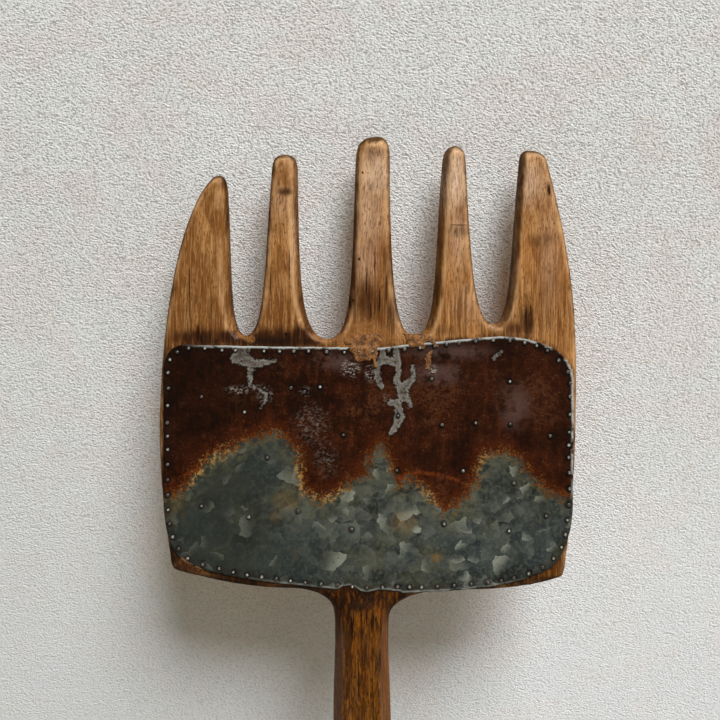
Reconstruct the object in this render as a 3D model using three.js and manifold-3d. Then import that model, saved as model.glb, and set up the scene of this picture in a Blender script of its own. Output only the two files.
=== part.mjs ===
// Hand-carved five-tined wooden hay fork with a tacked sheet-metal patch on its palm.
//
// Palm, tines and handle are one carved piece of beech. A galvanised sheet covers the worn front
// of the palm, held by small domed tacks round its rim and over its face, and a few daubs of
// wood filler close the gaps at its edge.
//
// Millimetres, tines up along +Z, front face towards -Y. While it is drawn, x = 0 is the middle
// of the palm, y = 0 its front face and z = 0 the line where the palm meets the neck. The whole
// group is then moved so that its origin lies on the flat back of the palm, where a bracket that
// holds it on a wall would be fixed.

import * as THREE from 'three';
import { TessellateModifier } from 'three/addons/modifiers/TessellateModifier.js';
import { mergeVertices } from 'three/addons/utils/BufferGeometryUtils.js';
import Module from 'manifold-3d';

// ---- Overall sizes ----
const OVERALL_LENGTH = 1350; // sawn foot to the top of the middle tine
const PALM_WIDTH = 310;
const PALM_HEIGHT = 188; // neck line to the floors of the gaps between the tines
const TINE_LENGTH = 143; // gap floor to the top of the middle tine
const PALM_THICKNESS = 18;
const TIP_THICKNESS = 10.5; // thickness left at the top of the middle tine
const TINE_SWEEP = 12; // how far the tips curve forward of the palm
const EDGE_ROUND = 3; // carved rounding along both faces
const FACET = 24; // longest edge of a facet on the head's faces
const BRACKET_HEIGHT = 136; // the point where a wall bracket holds it, above the neck line

// ---- Handle ----
const HANDLE_OFFSET = -4.8; // its axis lies a little left of the palm's middle
const HANDLE_WIDTH = 41; // across the neck
const HANDLE_DEPTH = 36; // front to back below the neck
const HANDLE_SWELL = 6.5; // the neck stands this far in front of the palm
const FOOT_DIAMETER = 33;
const FOOT_CHAMFER = 2.5;
const BOW_SIDEWAYS = 9; // natural bow of the stem
const BOW_BACK = 14;
const RIDGE_HEIGHT = 112; // the handle's ridge fades into the palm's back at this height
const HANDLE_SIDES = 20;

// ---- Sheet, tacks and filler ----
const SHEET_THICKNESS = 0.6;
const SHEET_MARGIN = 3; // wood left showing beside the sheet
const SHEET_TOP_MARGIN = 7; // wood left showing below the gap floors
const CONTACT_GAP = 0.3; // between pieces that touch
const TACK_HEAD_RADIUS = 1.6;
const TACK_HEAD_HEIGHT = 1.1;
const TACK_SHANK_RADIUS = 0.65;
const TACK_LENGTH = 11;
const TACK_SIDES = 6;
const TACK_INSET = 3.1; // rim tacks, in from the sheet's edge
const TACK_SCATTER = 0.7; // hand-set unevenness
const RIM_TACKS = 40;
const FILLER_PROUD = 1.5; // filler stands this far in front of the sheet

// The tines from left to right. lean moves a tip off the middle of its fifth of the palm, width is
// the tip's width, drop how far it ends below the middle tine, shoulders how far below the tip its
// left and right corners begin, peak the highest point of the tip from its middle, and swell how
// much each side widens on the way down.
const TINES = [
  { lean: 14, width: 12, drop: 28, shoulders: [3.5, 9.5], peak: 1.5, swell: [0, 2] },
  { lean: 0.9, width: 18.5, drop: 13, shoulders: [9, 8], peak: 0, swell: [7, 0] },
  { lean: 3.6, width: 24.5, drop: 0, shoulders: [14, 12], peak: 3, swell: [4.5, 0.7] },
  { lean: 1.3, width: 17, drop: 6, shoulders: [10, 13], peak: 1, swell: [6, 5] },
  { lean: -2.3, width: 21, drop: 9, shoulders: [6, 13], peak: -4, swell: [5, 0] },
];
const TINE_STRAIGHT = 0.62; // share of a tine's side that runs straight before it flares
const NOSE_LENGTH = 8; // chamfer on the front of each tip
const NOSE_DEPTH = 3;

// The floors of the gaps between the tines: shift sideways off the even fifths, rise above the
// palm's height, and how far the floor flares towards the tine on its left and right.
const GAPS = [
  { shift: 1.5, rise: 0, flare: [12.5, 14] },
  { shift: 1.2, rise: -2.4, flare: [21.5, 19.5] },
  { shift: 3.4, rise: -0.4, flare: [15, 18] },
  { shift: 0.2, rise: 8.4, flare: [13.2, 14.8] },
];

// Tacks over the sheet's face, as shares of its half width and of the palm's height.
const FACE_TACKS = [
  [-0.81, 0.76], [-0.6, 0.7], [-0.31, 0.78], [-0.12, 0.61], [-0.49, 0.52], [-0.81, 0.33],
  [-0.34, 0.31], [-0.08, 0.24], [0.31, 0.83], [0.69, 0.82], [0.36, 0.65], [0.14, 0.47],
  [0.71, 0.42], [0.37, 0.26],
];

// Daubs of filler along the sheet's edge. Each place is a share of the sheet's half width and of
// its height, plus an offset from there; half is the daub's half width and half height.
const FILLERS = [
  { name: 'filler_middle_tine', share: [0, 1], offset: [-3, -0.5], half: [11, 10] },
  { name: 'filler_right_gap', share: [0.24, 1], offset: [0, 0.5], half: [6.5, 5] },
  { name: 'filler_right_gap_run', share: [0.273, 1], offset: [0, -17], half: [3.6, 6] },
  { name: 'filler_lower_corner', share: [-1, 0], offset: [21, 17.5], half: [8, 4.2] },
];

// ---- Finishes ----
const WOOD = new THREE.MeshStandardMaterial({ color: 0x9a6534, roughness: 0.42, metalness: 0 });
const ZINC = new THREE.MeshStandardMaterial({ color: 0x5d4a42, roughness: 0.6, metalness: 0.35 });
const IRON = new THREE.MeshStandardMaterial({ color: 0x4b4440, roughness: 0.5, metalness: 0.7 });
const FILLER = new THREE.MeshStandardMaterial({ color: 0xa5673c, roughness: 0.85, metalness: 0 });

// ---- Derived sizes ----
const HALF_WIDTH = PALM_WIDTH / 2;
const PITCH = PALM_WIDTH / TINES.length;
const TOP = PALM_HEIGHT + TINE_LENGTH;
const FOOT = TOP - OVERALL_LENGTH;
const SHEET_HALF = HALF_WIDTH - SHEET_MARGIN;
const SHEET_TOP = PALM_HEIGHT - SHEET_TOP_MARGIN;
const SHEET_FRONT = -CONTACT_GAP - SHEET_THICKNESS;
const HEAD_SEAT = SHEET_FRONT - CONTACT_GAP;
const POCKET_RADIUS = (TACK_SHANK_RADIUS + CONTACT_GAP) / Math.cos(Math.PI / TACK_SIDES) + 0.1;

const wasm = await Module();
wasm.setup();

// ---- Solids ----

function solidOf(geometry) {
  const bare = geometry.clone();
  bare.deleteAttribute('normal');
  bare.deleteAttribute('uv');
  const merged = mergeVertices(bare, 1e-4);
  const vertProperties = new Float32Array(merged.attributes.position.array);
  const triVerts = new Uint32Array(merged.index.array);
  return new wasm.Manifold(new wasm.Mesh({ numProp: 3, vertProperties, triVerts }));
}

function geometryOf(solid) {
  const { vertProperties, triVerts } = solid.getMesh();
  const geometry = new THREE.BufferGeometry();
  geometry.setAttribute('position', new THREE.BufferAttribute(new Float32Array(vertProperties), 3));
  geometry.setIndex(new THREE.BufferAttribute(new Uint32Array(triVerts), 1));
  geometry.computeVertexNormals();
  return geometry;
}

// Moves every corner of a geometry by a function of its place.
function reshape(geometry, place) {
  const position = geometry.attributes.position;
  const corner = new THREE.Vector3();
  for (let i = 0; i < position.count; i += 1) {
    corner.fromBufferAttribute(position, i);
    place(corner);
    position.setXYZ(i, corner.x, corner.y, corner.z);
  }
  return geometry;
}

// An outline drawn in x and z, given a thickness from y = front to y = front + depth.
function slab(outline, front, depth, grow = 0, round = 0) {
  const geometry = new THREE.ExtrudeGeometry(new THREE.Shape(outline), {
    depth: depth - 2 * round,
    bevelEnabled: grow > 0 || round > 0,
    bevelSize: grow > 0 ? grow : round,
    bevelOffset: -round,
    bevelThickness: grow > 0 ? grow : round,
    bevelSegments: grow > 0 ? 1 : 2,
  });
  geometry.rotateX(Math.PI / 2);
  geometry.translate(0, front + depth - round, 0);
  return geometry;
}

// Even numbers from -1 to 1 that look random and never change.
function uneven(index, salt) {
  const wave = Math.sin(index * 12.9898 + salt * 78.233) * 43758.5453;
  return 2 * (wave - Math.floor(wave)) - 1;
}

// ---- Outlines ----

const at = (x, z) => new THREE.Vector2(x, z);

// The points of a run of curves, each with its own number of steps, end points shared.
function trace(...curves) {
  return curves.flatMap(([curve, steps]) => curve.getPoints(steps).slice(0, -1));
}

const cubic = (...points) => new THREE.CubicBezierCurve(...points);
const bend = (...points) => new THREE.QuadraticBezierCurve(...points);

function tineTip(index) {
  const { lean, width, drop, shoulders, peak } = TINES[index];
  const middle = (index + 0.5) * PITCH - HALF_WIDTH + lean;
  const top = TOP - drop;
  return {
    left: at(middle - width / 2, top - shoulders[0]),
    peak: at(middle + peak, top),
    right: at(middle + width / 2, top - shoulders[1]),
  };
}

function gapFloor(index) {
  const { shift, rise, flare } = GAPS[index];
  return { floor: at((index + 1) * PITCH - HALF_WIDTH + shift, PALM_HEIGHT + rise), flare };
}

// One side of a tine, from the floor of a gap up to the corner of the tip.
function tineSide(floor, flare, corner, swell) {
  const straight = TINE_STRAIGHT * (corner.y - floor.y);
  return cubic(floor, at(floor.x + flare, floor.y), at(corner.x + swell, corner.y - straight), corner);
}

function reversed(curve) {
  return cubic(curve.v3, curve.v2, curve.v1, curve.v0);
}

function tineNose({ left, peak, right }) {
  return [
    [bend(left, at(left.x + 0.5, peak.y), peak), 3],
    [bend(peak, at(right.x - 0.5, peak.y), right), 3],
  ];
}

// Palm and tines, clockwise from the left of the neck.
function headOutline() {
  const neckLeft = at(HANDLE_OFFSET - 0.42 * HANDLE_WIDTH, -24);
  const neckRight = at(HANDLE_OFFSET + 0.42 * HANDLE_WIDTH, -24);
  const heelLeft = at(-0.34 * HALF_WIDTH, -0.8);
  const heelRight = at(0.39 * HALF_WIDTH, -1);
  const cornerLeft = at(12 - HALF_WIDTH, 14);
  const cornerRight = at(HALF_WIDTH - 11, 9);
  const flankLeft = at(8 - HALF_WIDTH, 24);
  const flankRight = at(HALF_WIDTH - 8, 20);
  const wideLeft = at(-HALF_WIDTH, 0.64 * PALM_HEIGHT);
  const wideRight = at(HALF_WIDTH, 0.88 * PALM_HEIGHT);
  const tips = TINES.map((_, index) => tineTip(index));
  const outline = trace(
    [bend(neckLeft, at(neckLeft.x - 3, -3), heelLeft), 5],
    [cubic(heelLeft, at(heelLeft.x - 32, 1.4), at(cornerLeft.x + 22, 6.8), cornerLeft), 7],
    [bend(cornerLeft, at(cornerLeft.x - 4, 15.5), flankLeft), 3],
    [bend(flankLeft, at(-HALF_WIDTH, 0.4 * PALM_HEIGHT), wideLeft), 5],
    [cubic(wideLeft, at(-HALF_WIDTH, wideLeft.y + 90), at(tips[0].left.x - 22, tips[0].left.y - 22),
      tips[0].left), 12],
    ...tineNose(tips[0]),
  );
  GAPS.forEach((_, index) => {
    const { floor, flare } = gapFloor(index);
    const before = tips[index].right;
    const after = tips[index + 1].left;
    outline.push(...trace(
      [reversed(tineSide(floor, -flare[0], before, TINES[index].swell[1])), 9],
      [tineSide(floor, flare[1], after, -TINES[index + 1].swell[0]), 9],
      ...tineNose(tips[index + 1]),
    ));
  });
  const last = tips[tips.length - 1].right;
  outline.push(...trace(
    [cubic(last, at(last.x + 10.5, last.y - 34), at(HALF_WIDTH, wideRight.y + 70), wideRight), 10],
    [bend(wideRight, at(HALF_WIDTH, 0.42 * PALM_HEIGHT), flankRight), 6],
    [bend(flankRight, at(flankRight.x - 1, 10.5), cornerRight), 3],
    [cubic(cornerRight, at(cornerRight.x - 22, 0), at(heelRight.x + 25, -1), heelRight), 7],
    [bend(heelRight, at(neckRight.x + 8, -3), neckRight), 5],
  ), neckRight);
  return outline;
}

// The sheet, clockwise from its lower left corner. Its lower edge is snipped unevenly at the neck.
function sheetOutline() {
  const lowLeft = at(17 - SHEET_HALF, 20.7);
  const lowRight = at(SHEET_HALF - 17, 16.5);
  const neck = [[-18.4, 0.7], [-11.5, 3.7], [-4.8, 2.2], [2.2, -1.9], [11, 0], [24.6, 0], [30.7, -1.9]];
  const snips = neck.map(([dx, z]) => at(HANDLE_OFFSET + dx, z));
  const topRight = at(0.64 * SHEET_HALF, SHEET_TOP + 6.7);
  const topMiddle = at(0.06 * SHEET_HALF, SHEET_TOP - 1.8);
  const topLeft = at(23 - SHEET_HALF, SHEET_TOP + 0.3);
  return trace(
    [cubic(snips[0], at(-0.5 * SHEET_HALF, 6), at(lowLeft.x + 22, 9.5), lowLeft), 8],
    [bend(lowLeft, at(1.8 - SHEET_HALF, 30), at(0.8 - SHEET_HALF, 64)), 6],
    [bend(at(0.8 - SHEET_HALF, 64), at(0.8 - SHEET_HALF, 110), at(0.8 - SHEET_HALF, SHEET_TOP - 16)), 2],
    [bend(at(0.8 - SHEET_HALF, SHEET_TOP - 16), at(2.5 - SHEET_HALF, SHEET_TOP + 3), topLeft), 6],
    [bend(topLeft, at(-0.5 * SHEET_HALF, SHEET_TOP - 1), topMiddle), 5],
    [bend(topMiddle, at(0.4 * SHEET_HALF, SHEET_TOP + 4), topRight), 5],
    [cubic(topRight, at(0.83 * SHEET_HALF, SHEET_TOP + 6), at(SHEET_HALF - 0.5, SHEET_TOP - 3),
      at(SHEET_HALF, SHEET_TOP - 26)), 8],
    [bend(at(SHEET_HALF, SHEET_TOP - 26), at(SHEET_HALF, 110), at(SHEET_HALF - 0.6, 62)), 2],
    [bend(at(SHEET_HALF - 0.6, 62), at(SHEET_HALF - 2, 28), lowRight), 6],
    [cubic(lowRight, at(0.73 * SHEET_HALF, 2), at(0.47 * SHEET_HALF, -0.5), snips[6]), 8],
    [new THREE.SplineCurve(snips.reverse()), 9],
  );
}

// ---- Wooden fork ----

const smooth = THREE.MathUtils.smoothstep;
const mix = THREE.MathUtils.lerp;

// Gives the flat head its forward sweep, its taper and the chamfered noses of its tines.
function carve(corner) {
  const rise = Math.max(0, corner.z - PALM_HEIGHT) / TINE_LENGTH;
  const index = THREE.MathUtils.clamp(Math.floor((corner.x + HALF_WIDTH) / PITCH), 0, TINES.length - 1);
  const noseStart = TOP - TINES[index].drop - NOSE_LENGTH;
  const nose = NOSE_DEPTH * smooth(corner.z, noseStart, noseStart + NOSE_LENGTH);
  const front = nose - TINE_SWEEP * rise * rise;
  const back = mix(PALM_THICKNESS, TIP_THICKNESS, rise) - TINE_SWEEP * rise * rise;
  corner.y = mix(front, back, corner.y / PALM_THICKNESS);
}

function carvedHead() {
  const blank = slab(headOutline(), 0, PALM_THICKNESS, 0, EDGE_ROUND);
  return reshape(new TessellateModifier(FACET, 14).modify(blank), carve);
}

// Sections of the handle from the sawn foot up to where its ridge fades into the palm: height,
// width, front and back faces, and how square the section is (2 is an ellipse).
function handleSections() {
  const foot = FOOT_DIAMETER;
  const stem = FOOT_DIAMETER + 2;
  const neckFront = -HANDLE_SWELL;
  const neckBack = HANDLE_DEPTH - HANDLE_SWELL;
  const middle = (neckFront + neckBack) / 2;
  const round = (z, width) => ({
    z, width, front: middle - width / 2, back: middle + width / 2, square: 2.1,
  });
  const below = (share) => share * FOOT;
  return [
    round(FOOT, foot - 2 * FOOT_CHAMFER),
    round(FOOT + FOOT_CHAMFER, foot),
    round(below(0.93), foot + 1),
    round(below(0.84), stem),
    round(below(0.74), stem),
    round(below(0.64), stem + 0.5),
    round(below(0.54), stem + 1),
    round(below(0.44), stem + 1.5),
    round(below(0.35), stem + 2),
    { z: below(0.27), width: HANDLE_WIDTH - 1, front: neckFront + 0.5, back: neckBack, square: 2.3 },
    { z: below(0.2), width: HANDLE_WIDTH + 1, front: neckFront, back: neckBack, square: 2.5 },
    { z: below(0.14), width: HANDLE_WIDTH + 3, front: neckFront, back: neckBack, square: 2.7 },
    { z: -88, width: HANDLE_WIDTH + 3, front: neckFront, back: neckBack, square: 2.9 },
    { z: -45, width: HANDLE_WIDTH, front: neckFront, back: neckBack, square: 3 },
    { z: -24, width: HANDLE_WIDTH, front: 0.9 * neckFront, back: neckBack, square: 3 },
    { z: -12, width: HANDLE_WIDTH + 2, front: 0.5 * neckFront, back: neckBack, square: 2.8 },
    { z: -5, width: HANDLE_WIDTH + 3, front: 0.4, back: neckBack, square: 2.6 },
    { z: 8, width: HANDLE_WIDTH + 3, front: 1.5, back: mix(neckBack, PALM_THICKNESS, 0.12), square: 2.4 },
    { z: 30, width: HANDLE_WIDTH, front: 3, back: mix(neckBack, PALM_THICKNESS, 0.35), square: 2.2 },
    { z: 0.5 * RIDGE_HEIGHT, width: 0.8 * HANDLE_WIDTH, front: 5, back: mix(neckBack, PALM_THICKNESS, 0.65),
      square: 2.1 },
    { z: 0.8 * RIDGE_HEIGHT, width: 0.5 * HANDLE_WIDTH, front: 7, back: PALM_THICKNESS + 0.8, square: 2 },
    { z: RIDGE_HEIGHT, width: 0.25 * HANDLE_WIDTH, front: 8, back: PALM_THICKNESS - 2, square: 2 },
  ];
}

// A closed cylinder whose rings take the handle's sections in turn, along the bowed stem.
function carvedHandle() {
  const sections = handleSections();
  const steps = sections.length - 1;
  const geometry = new THREE.CylinderGeometry(1, 1, steps, HANDLE_SIDES, steps);
  geometry.rotateX(Math.PI / 2);
  const rounder = (value, square) => Math.sign(value) * Math.abs(value) ** (2 / square);
  return reshape(geometry, (corner) => {
    const { z, width, front, back, square } = sections[Math.round(corner.z + steps / 2)];
    const down = Math.max(0, z / FOOT);
    const sideways = HANDLE_OFFSET + BOW_SIDEWAYS * Math.sin(Math.PI * down) * down;
    const backwards = BOW_BACK * smooth(down, 0, 1);
    corner.x = sideways + (width / 2) * rounder(corner.x, square);
    corner.y = (front + back) / 2 + backwards + ((back - front) / 2) * rounder(corner.y, square);
    corner.z = z;
  });
}

// ---- Sheet, tacks and filler ----

const sheetEdge = sheetOutline();

// Evenly spaced places round the sheet, set in from its edge and a little uneven by hand.
function rimTackPlaces() {
  const edge = new THREE.Shape([...sheetEdge, sheetEdge[0]]);
  return Array.from({ length: RIM_TACKS }, (_, index) => {
    const along = (index + 0.12 * uneven(index, 1)) / RIM_TACKS;
    const share = THREE.MathUtils.euclideanModulo(along, 1);
    const place = edge.getPointAt(share);
    const ahead = edge.getPointAt(Math.min(1, share + 0.006));
    const behind = edge.getPointAt(Math.max(0, share - 0.006));
    const inward = ahead.sub(behind).normalize();
    const inset = TACK_INSET + TACK_SCATTER * uneven(index, 2);
    return at(place.x + inward.y * inset, place.y - inward.x * inset);
  });
}

function faceTackPlaces() {
  return FACE_TACKS.map(([x, z]) => at(x * SHEET_HALF, z * PALM_HEIGHT));
}

// A straight-sided peg along y, used to open pockets and holes.
function peg(place, radius, front, depth) {
  const geometry = new THREE.CylinderGeometry(radius, radius, depth, TACK_SIDES);
  geometry.translate(place.x, front + depth / 2, place.y);
  return solidOf(geometry);
}

function pegs(places, radius, front, depth) {
  return places.map((place) => peg(place, radius, front, depth)).reduce((all, one) => all.add(one));
}

// Domed head in front, shank and point behind, the underside of the head at y = 0.
function tackGeometry() {
  const profile = [
    [0, -TACK_HEAD_HEIGHT],
    [0.72 * TACK_HEAD_RADIUS, -0.66 * TACK_HEAD_HEIGHT],
    [TACK_HEAD_RADIUS, 0],
    [TACK_SHANK_RADIUS, 0],
    [TACK_SHANK_RADIUS, 0.7 * TACK_LENGTH],
    [0, TACK_LENGTH],
  ];
  return new THREE.LatheGeometry(profile.map(([radius, y]) => at(radius, y)), TACK_SIDES);
}

// A low lump of filler that lies over the sheet's edge, cut clear of wood, sheet and tack heads.
function fillerSolid({ share, offset, half }, salt, clearOf) {
  const lump = new THREE.SphereGeometry(1, 12, 8);
  reshape(lump, (corner) => {
    const turn = Math.atan2(corner.z, corner.x);
    const bulge = 1 + 0.12 * Math.sin(2 * turn + salt) + 0.08 * Math.sin(3 * turn + 2 * salt);
    corner.x = share[0] * SHEET_HALF + offset[0] + half[0] * bulge * corner.x;
    corner.y = HEAD_SEAT - FILLER_PROUD + 3 * FILLER_PROUD * (corner.y + 1);
    corner.z = share[1] * SHEET_TOP + offset[1] + half[1] * bulge * corner.z;
  });
  return solidOf(lump).subtract(clearOf);
}

// ---- Assembly ----

const rimTacks = rimTackPlaces();
const faceTacks = faceTackPlaces();
const allTacks = [...rimTacks, ...faceTacks];

const pocketDepth = TACK_LENGTH + HEAD_SEAT + 2 * CONTACT_GAP;
const pockets = pegs(allTacks, POCKET_RADIUS, -2, pocketDepth + 2);
const wood = solidOf(carvedHead()).add(solidOf(carvedHandle())).subtract(pockets);

const sheetHoles = pegs(allTacks, POCKET_RADIUS, SHEET_FRONT - 1, SHEET_THICKNESS + 2);
const sheet = solidOf(slab(sheetEdge, SHEET_FRONT, SHEET_THICKNESS)).subtract(sheetHoles);

const headRoom = pegs(allTacks, TACK_HEAD_RADIUS + 2 * CONTACT_GAP, -20, 40);
const overSheet = solidOf(slab(sheetEdge, SHEET_FRONT, SHEET_THICKNESS, CONTACT_GAP));
const palmBlock = new THREE.BoxGeometry(2 * PALM_WIDTH, 40, 2 * PALM_HEIGHT);
palmBlock.translate(0, 20 - CONTACT_GAP, PALM_HEIGHT);
const keepClear = overSheet.add(solidOf(palmBlock)).add(headRoom);

const fork = new THREE.Group();
fork.position.set(0, -PALM_THICKNESS, -BRACKET_HEIGHT);

function addPiece(name, geometry, material) {
  const mesh = new THREE.Mesh(geometry, material);
  mesh.name = name;
  fork.add(mesh);
  return mesh;
}

function addTacks(prefix, places) {
  const geometry = tackGeometry();
  places.forEach((place, index) => {
    const mesh = addPiece(`${prefix}_${String(index + 1).padStart(2, '0')}`, geometry, IRON);
    mesh.position.set(place.x, HEAD_SEAT, place.y);
  });
}

addPiece('carved_fork', geometryOf(wood), WOOD);
addPiece('sheet_patch', geometryOf(sheet), ZINC);
addTacks('rim_tack', rimTacks);
addTacks('face_tack', faceTacks);
FILLERS.forEach((filler, index) => {
  addPiece(filler.name, geometryOf(fillerSolid(filler, index + 1, keepClear)), FILLER);
});

export default fork;
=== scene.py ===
import math
import random

import bpy
import bmesh
import numpy as np
from mathutils import Matrix, Vector, kdtree, noise
from mathutils.geometry import delaunay_2d_cdt


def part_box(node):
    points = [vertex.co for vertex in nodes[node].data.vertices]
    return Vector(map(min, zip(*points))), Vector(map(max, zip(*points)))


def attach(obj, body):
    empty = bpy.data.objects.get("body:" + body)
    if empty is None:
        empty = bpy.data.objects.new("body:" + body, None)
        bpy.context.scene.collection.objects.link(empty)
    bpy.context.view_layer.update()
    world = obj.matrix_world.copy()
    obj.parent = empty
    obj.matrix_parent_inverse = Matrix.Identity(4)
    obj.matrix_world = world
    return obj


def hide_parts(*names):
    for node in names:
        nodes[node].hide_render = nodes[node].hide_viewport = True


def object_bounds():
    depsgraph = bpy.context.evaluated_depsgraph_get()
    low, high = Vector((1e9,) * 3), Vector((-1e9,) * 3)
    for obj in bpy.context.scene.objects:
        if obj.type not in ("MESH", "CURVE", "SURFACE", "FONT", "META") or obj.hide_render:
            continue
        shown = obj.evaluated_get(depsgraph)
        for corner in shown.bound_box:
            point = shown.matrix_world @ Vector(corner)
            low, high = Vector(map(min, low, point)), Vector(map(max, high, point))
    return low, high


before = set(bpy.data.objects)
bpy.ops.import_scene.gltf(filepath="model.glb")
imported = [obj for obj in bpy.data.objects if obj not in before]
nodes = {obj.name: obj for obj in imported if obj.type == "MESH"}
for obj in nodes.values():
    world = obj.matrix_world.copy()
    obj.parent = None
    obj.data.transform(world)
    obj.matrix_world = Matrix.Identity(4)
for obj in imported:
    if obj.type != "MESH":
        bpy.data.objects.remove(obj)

MM = 0.001
cad_low, cad_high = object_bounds()

# ---------------------------------------------------------------- Viewpoint
# The head of the fork is looked at square on and from close by, so the sides of the outer tines
# just show. The handle runs out of the bottom of the picture.

sheet_low, sheet_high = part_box("sheet_patch")
palm_front = sheet_high.y + 0.3 * MM  # the wooden face that the sheet lies on
neck_line = sheet_low.z + 1.9 * MM  # where the handle grows into the palm
EYE_DISTANCE = 0.62
VIEW_WIDTH = 0.533
EYE_RIGHT = -5.9 * MM
EYE_ABOVE_NECK = 170.2 * MM


def placed(name, data):
    """Stands a thing in the scene under this name."""
    thing = bpy.data.objects.new(name, data)
    bpy.context.scene.collection.objects.link(thing)
    return thing


lens = bpy.data.cameras.new("eye")
lens.sensor_width = 36
lens.lens = lens.sensor_width * EYE_DISTANCE / VIEW_WIDTH
lens.clip_start = 0.01
lens.clip_end = 50
eye = placed("eye", lens)
eye.location = (EYE_RIGHT, palm_front - EYE_DISTANCE, neck_line + EYE_ABOVE_NECK)
eye.rotation_euler = (math.radians(90), 0, 0)
bpy.context.scene.camera = eye
bpy.context.scene.view_settings.view_transform = "Standard"

# ---------------------------------------------------------------- Carved fork
# Palm, tines and handle are one split of beech, hewn and drawknifed to shape, then darkened by a
# century of hands, oil and wax. Its arrises are worn pale, with a painted highlight along the bevels;
# the sides of its tines carry grime and painted shade, the wood beside the sheet is grimed, and short
# dark ray flecks run along the grain. Painted shade darkens its left side and the tops of its tips,
# and a painted sheen pales its tine tips.

WOOD_GRID = 1.7 * MM  # size of the facets of the finished mesh
HEWN = 0.35 * MM  # height of the tool marks
LONG_WAVE = 0.5 * MM  # slow unevenness along the tines and the handle
POCKET_REACH = 1.5 * MM  # a tack's pocket and its mouth, out from the tack's middle
POCKET_DEPTH = 12 * MM
HANDLE_OFFSET = 4.8 * MM  # the handle stands this far to the left of the palm's middle
PITH_LEAN = (0.035, -0.05, 1.0)  # which way the middle of the growth rings runs, and where
PITH_PLACE = (0.012, 0.055, 0.0)
HONEY = (180, 122, 68)
CHESTNUT = (138, 86, 42)
WALNUT = (70, 37, 12)
SOOT = (24, 12, 5)
LEFT_SHADE_BEECH = (104, 65, 28)
CLEAN_BEECH = (194, 138, 82)
CLOUDED_BEECH = (112, 66, 28)
TIP_SHEEN_BEECH = (208, 162, 118)
SHEEN_BEECH = (234, 196, 162)
ROOT_STREAK = (78, 44, 14)
ROOT_BROWN = (98, 58, 20)
UNDER_SHEET = (56, 29, 8)
WAXED_BROWN = (66, 33, 5)
WAXED_GOLD = (104, 58, 8)
WAXED_STREAK = (32, 15, 4)
FLAME_DARK = (30, 13, 3)
FLAME_GOLD = (142, 82, 20)
RIGHT_CUT_SHEEN = (106, 66, 38)
LEFT_CUT_REFLECTION = (98, 70, 54)
NECK_GOLD = (106, 56, 10)
NECK_DARK = (20, 8, 2)
RING_BROWN = (92, 52, 17)
GRAIN_DARK = (84, 48, 16)
GRAIN_PALE = (212, 164, 110)
PORE_BROWN = (54, 29, 10)
FLECK_BROWN = (70, 38, 14)
WORN_ARRIS_AND_HIGHLIGHT = (218, 172, 122)
SIDE_SHADE_AND_GRIME = (58, 32, 12)
HEWN_END_AND_TOP_SHADE = (74, 51, 28)
BROWN_VEIL = (66, 34, 13)
RIM_PUTTY_SHADE = (112, 68, 32)
RIM_PUTTY_TAN = (158, 106, 58)
RIM_PUTTY_SPECK = (56, 30, 13)

# Dark hand and rust stains on the front: across and up from the middle of the neck, how far each
# reaches sideways and upwards, all in millimetres, and how dark it is.
STAINS = [
    (-126, 186, 22, 8, 0.7), (-104, 187, 9, 6, 0.75), (-70, 185, 24, 9, 0.8),
    (-60, 186, 10, 7, 0.9), (-84, 196, 5, 14, 0.5), (-50, 188, 9, 9, 0.75), (-24, 187, 7, 6, 0.6),
    (0, 214, 15, 20, 0.5), (18, 205, 5, 16, 0.45), (-11, 222, 4, 26, 0.5), (68, 184, 14, 3, 0.7),
    (56, 192, 10, 5, 0.35), (118, 198, 6, 13, 0.6), (110, 193, 9, 6, 0.5), (-61, 291, 7, 3.2, 0.55),
    (-66, 268, 5, 9, 0.3), (3, 262, 10, 14, 0.25), (14, 238, 5, 20, 0.4), (67, 264, 10, 6, 0.4),
    (66, 250, 8, 8, 0.25), (132.5, 294, 2, 6, 0.6), (128, 258, 13, 7, 0.35), (5, 318, 12, 6, 0.34),
    (-104, 300, 5, 10, 0.55), (-5, -4, 26, 12, 0.9), (-24, -14, 6, 22, 0.8), (-2, -40, 9, 22, 0.35),
    (16, -14, 7, 18, 0.6), (-26, -6, 9, 6, 0.9), (24, -5, 9, 5, 0.85), (-15, -40, 2.4, 40, 0.7),
    (11, -55, 3, 22, 0.4), (-138, 15, 16, 7, 0.65), (-96, 6, 34, 6, 0.95), (-50, 1, 25, 5, 0.95),
    (60, 1, 34, 4, 0.85), (112, 6, 20, 4, 0.6), (-151, 60, 3, 60, 0.75), (152, 60, 3, 50, 0.5),
    (-148, 120, 3, 60, 0.7), (128, 8, 22, 3, 0.6), (-150, 160, 4, 30, 0.6), (-74, 184, 36, 5, 0.95),
    (-68, 189, 16, 7, 0.6), (-146, 26, 8, 12, 0.85), (-120, 184, 16, 4, 0.7),
    (-45, 184, 12, 4, 0.85), (-153, 24, 5, 26, 0.7), (-142, 10, 12, 4, 0.8),
]

# The widest bevel on the left and on the right edge of each tine, across its tip, and along the
# floors of the gaps.
BEVELS = [(1.5, 6.5), (2.5, 5.5), (4.0, 3.2), (6.0, 2.5), (4.0, 2.5)]
TIP_BEVELS = [3.0, 5.0, 7.0, 5.0, 2.5]
TIP_RISE = [3.4, 3.4, 3.0, 2.4, 2.4]  # how much each hewn tip stands above the sawn blank
GAP_FLOOR_BEVEL = 3.2
# the dark strip along each tine's left and right edge is grime and painted shade, widest on the left
# sides of the fourth and fifth tines
EDGE_SHADE_AND_GRIME = [(1.2, 1.6), (1.6, 2.2), (2.2, 1.6), (4.2, 1.2), (4.2, 1.0)]  # dark edge, left and right
GAP_MIDDLES = [-91.5, -33, 38.5, 97]  # across from the middle of the palm
BEVEL_STEEPNESS = 0.78
GAP_FLOORS = 188  # up from the neck, in millimetres
TIPS_START = 235
TINE_LENGTH = 143
TINE_SWEEP = 12  # how far the tips lean forward of the palm

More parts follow.
